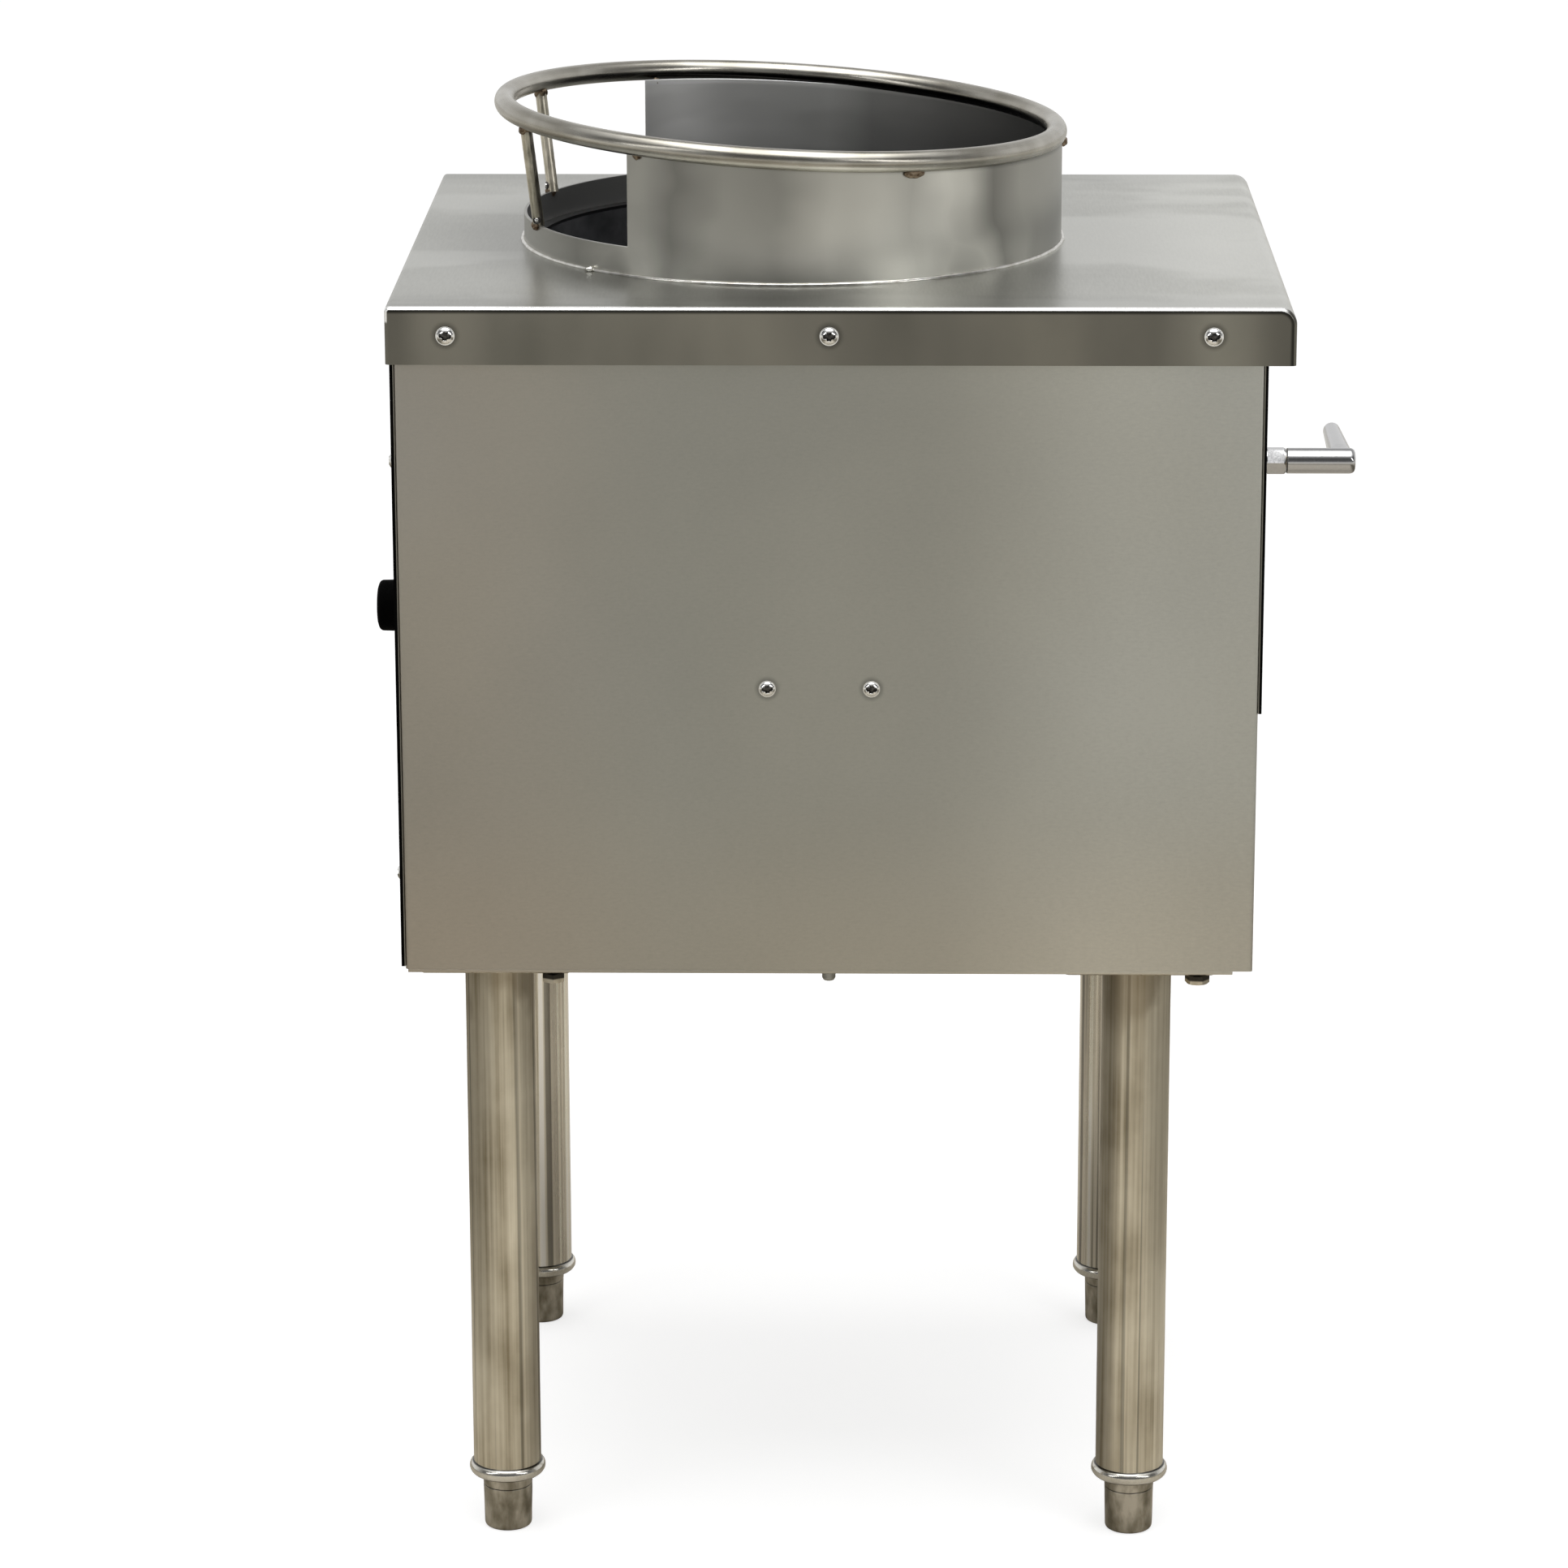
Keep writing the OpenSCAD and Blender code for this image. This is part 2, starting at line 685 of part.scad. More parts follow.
// A channel under the top flanges, open upwards
module top_brace(back) {
    half = side_inner_x - lap_gap;
    high = side_top_z - side_sheet;
    difference() {
        plan_box([-half, back - brace_w / 2, high - brace_h], [half, back + brace_w / 2, high]);
        plan_box([-half - cut, back - brace_w / 2 + rail_sheet, high - brace_h + rail_sheet],
                 [half + cut, back + brace_w / 2 - rail_sheet, high + cut]);
    }
}

module top_brace_rear() color([0.55, 0.55, 0.53]) top_brace(rear_brace_back);
module top_brace_front() color([0.55, 0.55, 0.53]) top_brace(front_brace_back);

// The pot ring's tube, drawn thicker by a clearance where other pieces meet it
module ring_torus(extra) {
    place(0, collar_back - ring_shift, top_height + ring_height) rotate([ring_slope, 0, 0])
        rotate_extrude($fn = wide_fn) translate([ring_r, 0]) circle(r = ring_tube_r + extra, $fn = 48);
}

module collar() color([0.66, 0.65, 0.62])
    difference() {
        place(0, collar_back, top_height)
            cylinder(h = ring_height + 2 * ring_tube_r, r = collar_r, $fn = wide_fn);
        place(0, collar_back, top_height - cut)
            cylinder(h = ring_height + 4 * ring_tube_r, r = collar_r - collar_wall, $fn = wide_fn);
        // The vent: everything above the low rim, behind the two upright edges
        plan_box([-collar_r - cut, collar_back - collar_r - cut, top_height + low_rim],
                 [collar_r + cut, vent_back, top_height + 2 * ring_height]);
        // The sloped upper edge, just under the middle of the ring's tube
        place(0, collar_back - ring_shift, top_height + ring_height - collar_edge_drop)
            rotate([ring_slope, 0, 0]) translate([-2 * collar_r, -2 * collar_r, 0])
                cube([4 * collar_r, 4 * collar_r, ring_height]);
        ring_torus(weld_gap);
    }

module collar_weld() color([0.80, 0.79, 0.75])
    place(0, collar_back, top_height)
        rotate_extrude($fn = wide_fn) intersection() {
            translate([collar_r + bead_r * 0.35, bead_r * 0.3]) circle(r = bead_r, $fn = 32);
            translate([collar_r, 0]) square([2 * bead_r, 2 * bead_r]);
        }

module pot_ring() color([0.70, 0.69, 0.66]) ring_torus(0);

// A strut from the inside of the low rim up to the ring, with a short stud to the rim
module strut(side) {
    foot_radius = collar_r - collar_wall - strut_r - strut_gap;
    foot_back = collar_back - foot_radius * cos(strut_foot_angle);
    foot_x = side * foot_radius * sin(strut_foot_angle);
    head_back = collar_back - ring_shift - ring_r * cos(strut_top_angle);
    head_x = side * ring_r * sin(strut_top_angle);
    foot = [foot_x, at_back(foot_back), top_height + strut_foot_z];
    head = [head_x, at_back(head_back), ring_plane_z(head_back)];
    lean = head - foot;
    reach = norm(lean);
    stud = collar_r - collar_wall - foot_radius;
    difference() {
        union() {
            translate(foot) rotate([0, acos(lean[2] / reach), atan2(lean[1], lean[0])])
                cylinder(h = reach, r = strut_r, $fn = 32);
            translate(foot) rotate([0, 90, 90 - side * strut_foot_angle])
                cylinder(h = stud, r = stud_r, $fn = 32);
        }
        ring_torus(weld_gap);
    }
}

module ring_struts() color([0.58, 0.55, 0.48]) {
    strut(-1);
    strut(1);
}

// The liner is a rolled wall with a flange welded round its upper end and a ledge at its foot
module chamber_liner() color([0.20, 0.20, 0.21])
    place(0, collar_back, liner_low_z + liner_wall)
        tube(under_top_z - liner_low_z - liner_wall, liner_outer_r, liner_wall, $fn = wide_fn);

module liner_flange() color([0.20, 0.20, 0.21])
    place(0, collar_back, under_top_z - liner_wall)
        tube(liner_wall, chamber_r + liner_flange, liner_flange - liner_wall - run_gap, $fn = wide_fn);

module liner_ledge() color([0.20, 0.20, 0.21])
    place(0, collar_back, liner_low_z) tube(liner_wall, liner_outer_r, liner_ledge, $fn = wide_fn);

// The burner stands on this rail, which is screwed to both side panels
module burner_rail() color([0.50, 0.50, 0.49])
    difference() {
        half = side_inner_x;
        from = bracket_back - bracket_w / 2;
        to = bracket_back + bracket_w / 2;
        low = bracket_top_z - bracket_sheet;
        tab_top = bracket_screw_z + bracket_tab / 2;
        union() {
            plan_box([-half, from, low], [half, to, bracket_top_z]);
            for (side = [-1, 1])
                translate([side < 0 ? 0 : side * half - bracket_sheet, 0, 0])
                    plan_box([side < 0 ? -half : 0, from, low], [side < 0 ? -half + bracket_sheet : bracket_sheet, to, tab_top]);
            plan_box([-half, from, low - rail_hem], [half, from + bracket_sheet, low]);
            plan_box([-half, to - bracket_sheet, low - rail_hem], [half, to, low]);
        }
        rail_screw_places() screw_hole();
        burner_bolt_places() translate([0, 0, -cut]) cylinder(h = 2 * bracket_sheet + 2 * cut, r = screw_r + run_gap);
    }

module burner_bolt_places() {
    for (side = [-1, 1])
        place(side * burner_bolt_x, collar_back, bracket_top_z - bracket_sheet) children();
}

// Places of the jets: one in the middle and two circles
function jet_places() = concat(
    [[0, 0]],
    [for (i = [0 : inner_jets - 1]) inner_jet_circle * [cos(i * 360 / inner_jets + 90), sin(i * 360 / inner_jets + 90)]],
    [for (i = [0 : outer_jets - 1]) outer_jet_circle * [cos((i + 0.5) * 360 / outer_jets), sin((i + 0.5) * 360 / outer_jets)]]
);

module burner_body() color([0.16, 0.16, 0.17])
    difference() {
        place(0, collar_back, bracket_top_z) {
            rotate_extrude() polygon([
                [0, 0], [burner_r, 0], [burner_r, burner_h - burner_chamfer],
                [burner_r - burner_chamfer, burner_h], [0, burner_h]
            ]);
            translate([0, 0, burner_h / 2]) along_front() cylinder(h = feed_socket_reach, r = feed_socket_r);
        }
        // The gas chamber inside and its way in from the front
        place(0, collar_back, bracket_top_z + burner_floor)
            cylinder(h = burner_h - 2 * burner_floor, r = outer_jet_circle + 2 * jet_thread_r);
        place(0, collar_back + burner_r - 2 * burner_floor, burner_z)
            along_front() cylinder(h = feed_socket_reach, r = branch_r - branch_wall);
        place(0, collar_back + feed_socket_reach - feed_thread, burner_z)
            along_front() cylinder(h = feed_thread + cut, r = branch_r + run_gap);
        for (spot = jet_places())
            place(spot[0], collar_back - spot[1], burner_top_z - burner_floor - cut)
                cylinder(h = burner_floor + 2 * cut, r = jet_thread_r);
        burner_bolt_places() translate([0, 0, bracket_sheet - cut])
            cylinder(h = burner_floor + 2 * cut, r = screw_r);
    }

module jet() {
    difference() {
        union() {
            translate([0, 0, -burner_floor]) cylinder(h = burner_floor, r = jet_thread_r);
            cylinder(h = jet_hex_h, r = jet_hex / 2, $fn = 6);
            translate([0, 0, jet_hex_h]) cylinder(h = jet_tip_h, r1 = jet_cone_r, r2 = jet_mouth_r);
        }
        translate([0, 0, -burner_floor - cut])
            cylinder(h = burner_floor + jet_hex_h + jet_tip_h + 2 * cut, r = jet_bore, $fn = 24);
    }
}

module burner_jets() color([0.78, 0.62, 0.30])
    for (spot = jet_places())
        place(spot[0], collar_back - spot[1], burner_top_z) jet();

// Bolts up through the rail into the burner's floor
module burner_bolts() color([0.75, 0.75, 0.74])
    burner_bolt_places() {
        translate([0, 0, -burner_bolt_head]) cylinder(h = burner_bolt_head, r = burner_bolt_hex / 2, $fn = 6);
        cylinder(h = bracket_sheet + burner_floor, r = screw_r);
    }

// The supply pipe runs forwards from the inlet, under the chamber, to the lower elbow
module supply_pipe() color([0.23, 0.23, 0.24])
    place(-pipe_side, valve_back - elbow_bend, inlet_z) along_rear()
        tube(valve_back - elbow_bend - rear_outer_back + stub_len, pipe_r, pipe_wall);

module inlet_locknut() color([0.30, 0.30, 0.31])
    place(-pipe_side, rear_inner_back, inlet_z) along_front() difference() {
        cylinder(h = locknut_len, r = locknut_hex / 2, $fn = 6);
        translate([0, 0, -cut]) cylinder(h = locknut_len + 2 * cut, r = pipe_r + run_gap);
    }

// An elbow with a collar round each of its two mouths
module elbow() {
    bore = pipe_r + run_gap;
    bend_outer = pipe_r + elbow_wall;
    outer = bend_outer + elbow_collar_rise;
    difference() {
        union() {
            quarter_bend(elbow_bend, bend_outer, bend_outer);
            translate([-elbow_collar, 0, 0]) along_x() cylinder(h = elbow_collar, r = outer);
            translate([elbow_bend, 0, elbow_bend]) cylinder(h = elbow_collar, r = outer);
        }
        translate([-elbow_collar - cut, 0, 0]) along_x() cylinder(h = elbow_collar + cut, r = bore);
        translate([elbow_bend, 0, elbow_bend]) cylinder(h = elbow_collar + cut, r = bore);
        quarter_bend(elbow_bend, pipe_r - pipe_wall, pipe_r);
    }
}

module supply_elbows() color([0.17, 0.17, 0.18]) {
    place(-pipe_side, valve_back - elbow_bend, inlet_z) rotate([0, 0, -90]) elbow();
    place(-pipe_side, valve_back, riser_high_z) mirror([1, 0, -1]) elbow();
}

module riser_pipe() color([0.23, 0.23, 0.24])
    place(-pipe_side, valve_back, riser_low_z) tube(riser_high_z - riser_low_z, pipe_r, pipe_wall);

module valve_nipple() color([0.23, 0.23, 0.24])
    place(nipple_from, valve_back, valve_z) along_x() tube(nipple_to - nipple_from, pipe_r, pipe_wall);

// The valve has its inlet boss on the left and its outlet boss below
module valve_body() color([0.72, 0.58, 0.30])
    place(0, valve_back, valve_z) difference() {
        union() {
            translate([0, valve_len / 2, 0]) along_front() cylinder(h = valve_len, r = valve_r);
            rotate([0, -90, 0]) cylinder(h = valve_boss_reach, r = pipe_r + valve_boss_wall);
            rotate([180, 0, 0]) cylinder(h = valve_boss_reach, r = branch_r + valve_boss_wall);
        }
        translate([0, valve_len / 2 - valve_floor, 0])
            along_front() cylinder(h = valve_len, r = plug_r + run_gap);
        rotate([0, -90, 0]) cylinder(h = valve_boss_reach, r = way_r);
        rotate([180, 0, 0]) cylinder(h = valve_boss_reach, r = way_r);
        translate([nipple_to, 0, 0]) rotate([0, -90, 0])
            cylinder(h = valve_thread + cut, r = pipe_r + run_gap);
        translate([0, 0, valve_thread - valve_boss_reach]) rotate([180, 0, 0])
            cylinder(h = valve_thread + cut, r = branch_r + run_gap);
    }

// The plug turns in the valve; its two ways join the inlet to the outlet a quarter turn on
module valve_plug() color([0.80, 0.68, 0.40])
    place(0, valve_back, valve_z) {
        plug_len = valve_len - valve_floor - 2 * lap_gap;
        rear = valve_len / 2 - valve_floor - lap_gap;
        difference() {
            translate([0, rear, 0]) along_front() cylinder(h = plug_len, r = plug_r);
            rotate([180, 0, 0]) cylinder(h = plug_r + cut, r = way_r);
            along_x() cylinder(h = plug_r + cut, r = way_r);
        }
        translate([0, rear - plug_len, 0]) along_front()
            cylinder(h = stem_end_back - valve_back + rear - plug_len, r = stem_r);
    }

module valve_bonnet() color([0.83, 0.83, 0.82])
    place(0, valve_front_back, valve_z) along_front() difference() {
        union() {
            cylinder(h = bonnet_flange, r = bonnet_flange_r);
            cylinder(h = bonnet_end_back - valve_front_back, r = bonnet_r);
        }
        translate([0, 0, -cut])
            cylinder(h = bonnet_end_back - valve_front_back + 2 * cut, r = stem_r + run_gap);
    }

module panel_locknut() color([0.80, 0.80, 0.79])
    place(0, control_outer_back, valve_z) along_front() difference() {
        cylinder(h = panel_nut_h, r = panel_nut_hex / 2, $fn = 6);
        translate([0, 0, -cut]) cylinder(h = panel_nut_h + 2 * cut, r = bonnet_r + run_gap);
    }

// The feed pipe drops from the valve and turns back into the burner's socket
module feed_pipe() color([0.30, 0.30, 0.31]) {
    top_z = valve_z - valve_boss_reach + valve_thread;
    bend_back = valve_back - feed_bend;
    end_back = collar_back + feed_socket_reach - feed_thread;
    place(0, valve_back, burner_z + feed_bend) tube(top_z - burner_z - feed_bend, branch_r, branch_wall);
    place(0, bend_back, burner_z) rotate([0, 0, -90]) quarter_bend(feed_bend, branch_r, branch_wall);
    place(0, bend_back, burner_z) along_rear() tube(bend_back - end_back, branch_r, branch_wall);
}

// The handle is a turned barrel with a cross arm near its end, pointing to the cook's right
module valve_handle() color([0.90, 0.90, 0.90])
    difference() {
        union() {
            place(0, handle_start, valve_z) along_front() {
                length = handle_end - handle_start;
                cylinder(h = length - barrel_chamfer, r = handle_r);
                translate([0, 0, length - barrel_chamfer])
                    cylinder(h = barrel_chamfer, r1 = handle_r, r2 = handle_r - barrel_chamfer);
            }
            place(0, arm_back, valve_z) along_x() {
                cylinder(h = handle_arm - arm_r, r = arm_r);
                translate([0, 0, handle_arm - arm_r]) sphere(r = arm_r);
            }
        }
        place(0, handle_start - cut, valve_z) along_front()
            cylinder(h = stem_socket + cut, r = stem_r + run_gap);
        place(0, set_screw_back, valve_z) rotate([180, 0, 0]) cylinder(h = handle_r + cut, r = set_screw_r);
    }

module handle_set_screw() color([0.25, 0.25, 0.26])
    place(0, set_screw_back, valve_z - handle_r + set_screw_sink) difference() {
        cylinder(h = handle_r - stem_r - set_screw_sink - run_gap, r = set_screw_r - run_gap);
        translate([0, 0, -cut]) cylinder(h = set_screw_socket + cut, r = set_screw_socket_r, $fn = 6);
    }

// The cap covers the pipe's stub and stops just short of the rear panel
module inlet_cap() color([0.05, 0.05, 0.05])
    place(-pipe_side, rear_outer_back, inlet_z) along_rear() difference() {
        rotate_extrude() {
            translate([0, lap_gap]) square([cap_r, cap_len - lap_gap - cap_edge]);
            translate([0, cap_len - 2 * cap_edge]) square([cap_r - cap_edge, 2 * cap_edge]);
            translate([cap_r - cap_edge, cap_len - cap_edge]) circle(r = cap_edge, $fn = 32);
        }
        translate([0, 0, lap_gap - cut]) cylinder(h = cap_len - cap_end - lap_gap + cut, r = pipe_r + run_gap);
    }

// The pilot valve hangs under the valve's nipple and feeds the tube to the pilot burner
module pilot_valve() color([0.72, 0.58, 0.30])
    difference() {
        place(-pilot_side, valve_back, pilot_valve_base) union() {
            cylinder(h = pilot_valve_len, r = pilot_valve_r);
            translate([0, 0, pilot_high_z - pilot_valve_base]) along_rear()
                cylinder(h = pilot_valve_r + pilot_socket, r = pilot_tube_r + pilot_socket_wall);
        }
        place(nipple_from, valve_back, valve_z) along_x() cylinder(h = nipple_to - nipple_from, r = pipe_r);
        place(-pilot_side, valve_back, pilot_high_z) along_rear()
            cylinder(h = pilot_valve_r + pilot_socket + cut, r = pilot_tube_r + run_gap);
        place(-pilot_side, valve_back, pilot_valve_base - cut)
            cylinder(h = pilot_branch_up + cut, r = pilot_key_r + run_gap);
    }

// A small key with a cross bar shuts and opens the pilot line
module pilot_key() color([0.82, 0.82, 0.80])
    place(-pilot_side, valve_back, pilot_valve_base) {
        stem_up = pilot_branch_up - pilot_tube_r - lap_gap;
        translate([0, 0, -pilot_key_drop]) cylinder(h = pilot_key_drop + stem_up, r = pilot_key_r);
        translate([-pilot_bar_len / 2, 0, -pilot_key_drop]) along_x() cylinder(h = pilot_bar_len, r = pilot_bar_r);
    }

// The pilot tube runs back, steps down and ends in the pilot burner's side
module pilot_tube() color([0.75, 0.52, 0.36]) {
    start_back = valve_back - pilot_valve_r;
    end_back = pilot_back + pilot_body_r + lap_gap;
    step_back = end_back + pilot_inlet + pilot_bend;
    wall = pilot_tube_wall;
    place(-pilot_side, start_back, pilot_high_z) along_rear()
        tube(start_back - step_back - pilot_bend, pilot_tube_r, wall);
    place(-pilot_side, step_back + pilot_bend, pilot_high_z) rotate([0, 0, 90]) mirror([0, 0, 1])
        quarter_bend(pilot_bend, pilot_tube_r, wall);
    place(-pilot_side, step_back - pilot_bend, pilot_low_z) rotate([0, 0, -90])
        quarter_bend(pilot_bend, pilot_tube_r, wall);
    place(-pilot_side, step_back - pilot_bend, pilot_low_z) along_rear()
        tube(step_back - pilot_bend - end_back, pilot_tube_r, wall);
}

module pilot_burner() color([0.55, 0.55, 0.56])
    difference() {
        high = pilot_low_z + pilot_hood_h;
        union() {
            place(-pilot_side, pilot_back, bracket_top_z) {
                cylinder(h = high - bracket_top_z, r = pilot_body_r);
                cylinder(h = pilot_hood_wall, r = pilot_body_r + pilot_hood_wall);
            }
            place(-pilot_side, pilot_back, pilot_low_z) along_front()
                cylinder(h = pilot_body_r + pilot_inlet, r = pilot_tube_r + pilot_socket_wall);
        }
        place(-pilot_side, pilot_back, pilot_low_z) along_front()
            cylinder(h = pilot_body_r + pilot_inlet + cut, r = pilot_tube_r + run_gap);
        place(-pilot_side, pilot_back, pilot_low_z)
            cylinder(h = pilot_hood_h + cut, r = pilot_body_r - pilot_hood_wall);
        // The hood is open towards the burner
        place(-pilot_side, pilot_back, pilot_low_z + pilot_tube_r + pilot_socket_wall)
            cube([2 * pilot_body_r, 2 * pilot_body_r, pilot_hood_h]);
    }

module skirt_screws() color([0.88, 0.88, 0.87])
    skirt_screw_places() domed_screw(skirt_head_r, skirt_head_h, screw_r, screw_len);

module rail_screws() color([0.85, 0.85, 0.84])
    rail_screw_places() domed_screw(panel_head_r, panel_head_h, screw_r, screw_len);

module rear_screws() color([0.80, 0.80, 0.79])
    rear_screw_places() domed_screw(panel_head_r, panel_head_h, screw_r, screw_len);

module base_screws() color([0.78, 0.77, 0.74])
    base_screw_places() domed_screw(panel_head_r, panel_head_h, screw_r, screw_len);

// Places of the leg bolts: two on a diagonal of each plate, the outer one to the front
module leg_bolt_places() {
    for (side = [-1, 1], back = [rear_leg_back, front_leg_back], end = [-1, 1])
        place(side * (leg_x + end * bolt_offset), back + end * bolt_offset, plate_base_z) children();
}

module bolt_hole() {
    translate([0, 0, -cut]) cylinder(h = rail_top_z - plate_base_z + 2 * cut, r = bolt_r + run_gap);
}

module leg_bolts() color([0.70, 0.69, 0.66])
    leg_bolt_places() {
        translate([0, 0, -bolt_head_h]) cylinder(h = bolt_head_h, r = bolt_hex / 2, $fn = 6);
        cylinder(h = rail_top_z - plate_base_z + nut_h + bolt_spare, r = bolt_r);
    }

module leg_nuts() color([0.72, 0.72, 0.70])
    leg_bolt_places() translate([0, 0, rail_top_z - plate_base_z]) difference() {
        cylinder(h = nut_h, r = bolt_hex / 2, $fn = 6);
        translate([0, 0, -cut]) cylinder(h = nut_h + 2 * cut, r = bolt_r + run_gap);
    }

// A leg is a tube welded under a square plate
module leg(side, back) {
    difference() {
        place(side * leg_x, back, 0) {
            translate([0, 0, leg_end_z]) tube(plate_base_z - leg_end_z, leg_r, leg_wall);
            translate([-plate_side / 2, -plate_side / 2, plate_base_z])
                cube([plate_side, plate_side, plate_t]);
            rotate_extrude() polygon([
                [leg_r - leg_wall / 2, plate_base_z], [leg_r + leg_fillet, plate_base_z],
                [leg_r, plate_base_z - leg_fillet], [leg_r - leg_wall / 2, plate_base_z - leg_fillet]
            ]);
        }
        leg_bolt_places() bolt_hole();
    }
}

// The insert plugs the tube's lower end, shows a bead round it and takes the foot's screw
module leg_insert(side, back) {
    plug_outer = leg_r - leg_wall - run_gap;
    bead_z = leg_end_z + insert_lip - insert_bead_half;
    bore = foot_screw_r + run_gap;
    place(side * leg_x, back, 0) rotate_extrude() difference() {
        union() {
            translate([bore, leg_end_z - cut]) square([plug_outer - bore, insert_plug + cut]);
            polygon([
                [bore, insert_base_z], [foot_top_r, insert_base_z],
                [insert_bead_r - insert_bead_half / 4, bead_z - insert_bead_half * 0.66],
                [insert_bead_r - insert_bead_half / 4, bead_z], [insert_bead_r - insert_bead_half, leg_end_z],
                [bore, leg_end_z]
            ]);
            translate([insert_bead_r - insert_bead_half, bead_z]) circle(r = insert_bead_half, $fn = 48);
        }
        translate([plug_outer, leg_end_z]) square([leg_r + run_gap - plug_outer, insert_plug + cut]);
    }
}

// A foot stands on the floor and screws up into its insert
module foot(side, back) {
    top_z = insert_base_z - foot_gap;
    place(side * leg_x, back, 0) rotate_extrude() {
        translate([foot_base_r - foot_edge, foot_edge]) circle(r = foot_edge, $fn = 48);
        polygon([
            [0, 0], [foot_base_r - foot_edge, 0], [foot_base_r - foot_edge, foot_edge],
            [foot_base_r, foot_edge], [foot_top_r, top_z], [0, top_z]
        ]);
        square([foot_screw_r, top_z + foot_screw_len]);
    }
}

module leg_rear_left() color([0.60, 0.57, 0.49]) leg(-1, rear_leg_back);
module leg_rear_right() color([0.60, 0.57, 0.49]) leg(1, rear_leg_back);
module leg_front_left() color([0.60, 0.57, 0.49]) leg(-1, front_leg_back);
module leg_front_right() color([0.60, 0.57, 0.49]) leg(1, front_leg_back);

module insert_rear_left() color([0.76, 0.74, 0.69]) leg_insert(-1, rear_leg_back);
module insert_rear_right() color([0.76, 0.74, 0.69]) leg_insert(1, rear_leg_back);
module insert_front_left() color([0.76, 0.74, 0.69]) leg_insert(-1, front_leg_back);
module insert_front_right() color([0.76, 0.74, 0.69]) leg_insert(1, front_leg_back);

module foot_rear_left() color([0.56, 0.53, 0.46]) foot(-1, rear_leg_back);
module foot_rear_right() color([0.56, 0.53, 0.46]) foot(1, rear_leg_back);
module foot_front_left() color([0.56, 0.53, 0.46]) foot(-1, front_leg_back);
module foot_front_right() color([0.56, 0.53, 0.46]) foot(1, front_leg_back);

// The runners are angles welded inside the side panels; the tray slides on their shelves
module tray_runner() {
    rear = rear_inner_back + side_sheet;
    front = control_inner_back - side_sheet;
    low = cabinet_base_z + runner_lift;
    plan_box([-side_inner_x, rear, low], [-side_inner_x + runner_shelf, front, runner_top_z]);
    plan_box([-side_inner_x, rear, low], [-side_inner_x + rail_sheet, front, low + runner_side_h]);
}
module tray_runner_left() color([0.55, 0.55, 0.53]) tray_runner();
module tray_runner_right() color([0.55, 0.55, 0.53]) right_hand() tray_runner();

module drip_tray() color([0.68, 0.67, 0.64]) {
    half = bay_half - tray_gap;
    rear = rear_inner_back + side_sheet + tray_setback;
    front = control_inner_back - tray_setback;
    low = runner_top_z + foot_gap;
    difference() {
        union() {
            plan_box([-half, rear, low], [half, front, low + tray_wall_h]);
            plan_box([-half, front - tray_sheet, low], [half, front, low + tray_front_h]);
            plan_box([-half, front - tray_hem, low + tray_front_h - tray_sheet], [half, front, low + tray_front_h]);
        }
        plan_box([-half + tray_sheet, rear + tray_sheet, low + tray_sheet],
                 [half - tray_sheet, front - tray_sheet, low + tray_wall_h + cut / 2]);
        slot_z = low + tray_front_h - tray_sheet - slot_h;
        slot_end = slot_w / 2 - slot_h / 2;
        place(0, front - tray_sheet - cut, slot_z) along_front()
            linear_extrude(tray_sheet + 2 * cut) {
                translate([-slot_end, -slot_h / 2]) square([2 * slot_end, slot_h]);
                for (side = [-1, 1]) translate([side * slot_end, 0]) circle(r = slot_h / 2);
            }
    }
}

top_sheet();
side_panel_left();
side_panel_right();
rear_panel();
control_panel();
leg_rail_rear();
leg_rail_front();
middle_rail();
top_brace_rear();
top_brace_front();
collar();
collar_weld();
pot_ring();
ring_struts();
chamber_liner();
liner_flange();
liner_ledge();
burner_rail();
burner_body();
burner_jets();
burner_bolts();
supply_pipe();
inlet_locknut();
supply_elbows();
riser_pipe();
valve_nipple();
valve_body();
valve_bonnet();
panel_locknut();
feed_pipe();
valve_plug();
valve_handle();
handle_set_screw();
inlet_cap();
pilot_valve();
pilot_key();
pilot_tube();
pilot_burner();
skirt_screws();
rail_screws();
rear_screws();
base_screws();
leg_rear_left();
leg_rear_right();
leg_front_left();
leg_front_right();
leg_bolts();
leg_nuts();
insert_rear_left();
insert_rear_right();
insert_front_left();
insert_front_right();
foot_rear_left();
foot_rear_right();
foot_front_left();
foot_front_right();
tray_runner_left();
tray_runner_right();
drip_tray();
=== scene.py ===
"""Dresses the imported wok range: detailed pieces, procedural metals, a camera and soft light."""
import json
from math import asin, copysign, cos, pi, radians, sin, sqrt, tan

import bpy
import bmesh
from mathutils import Euler, Matrix, Vector, noise


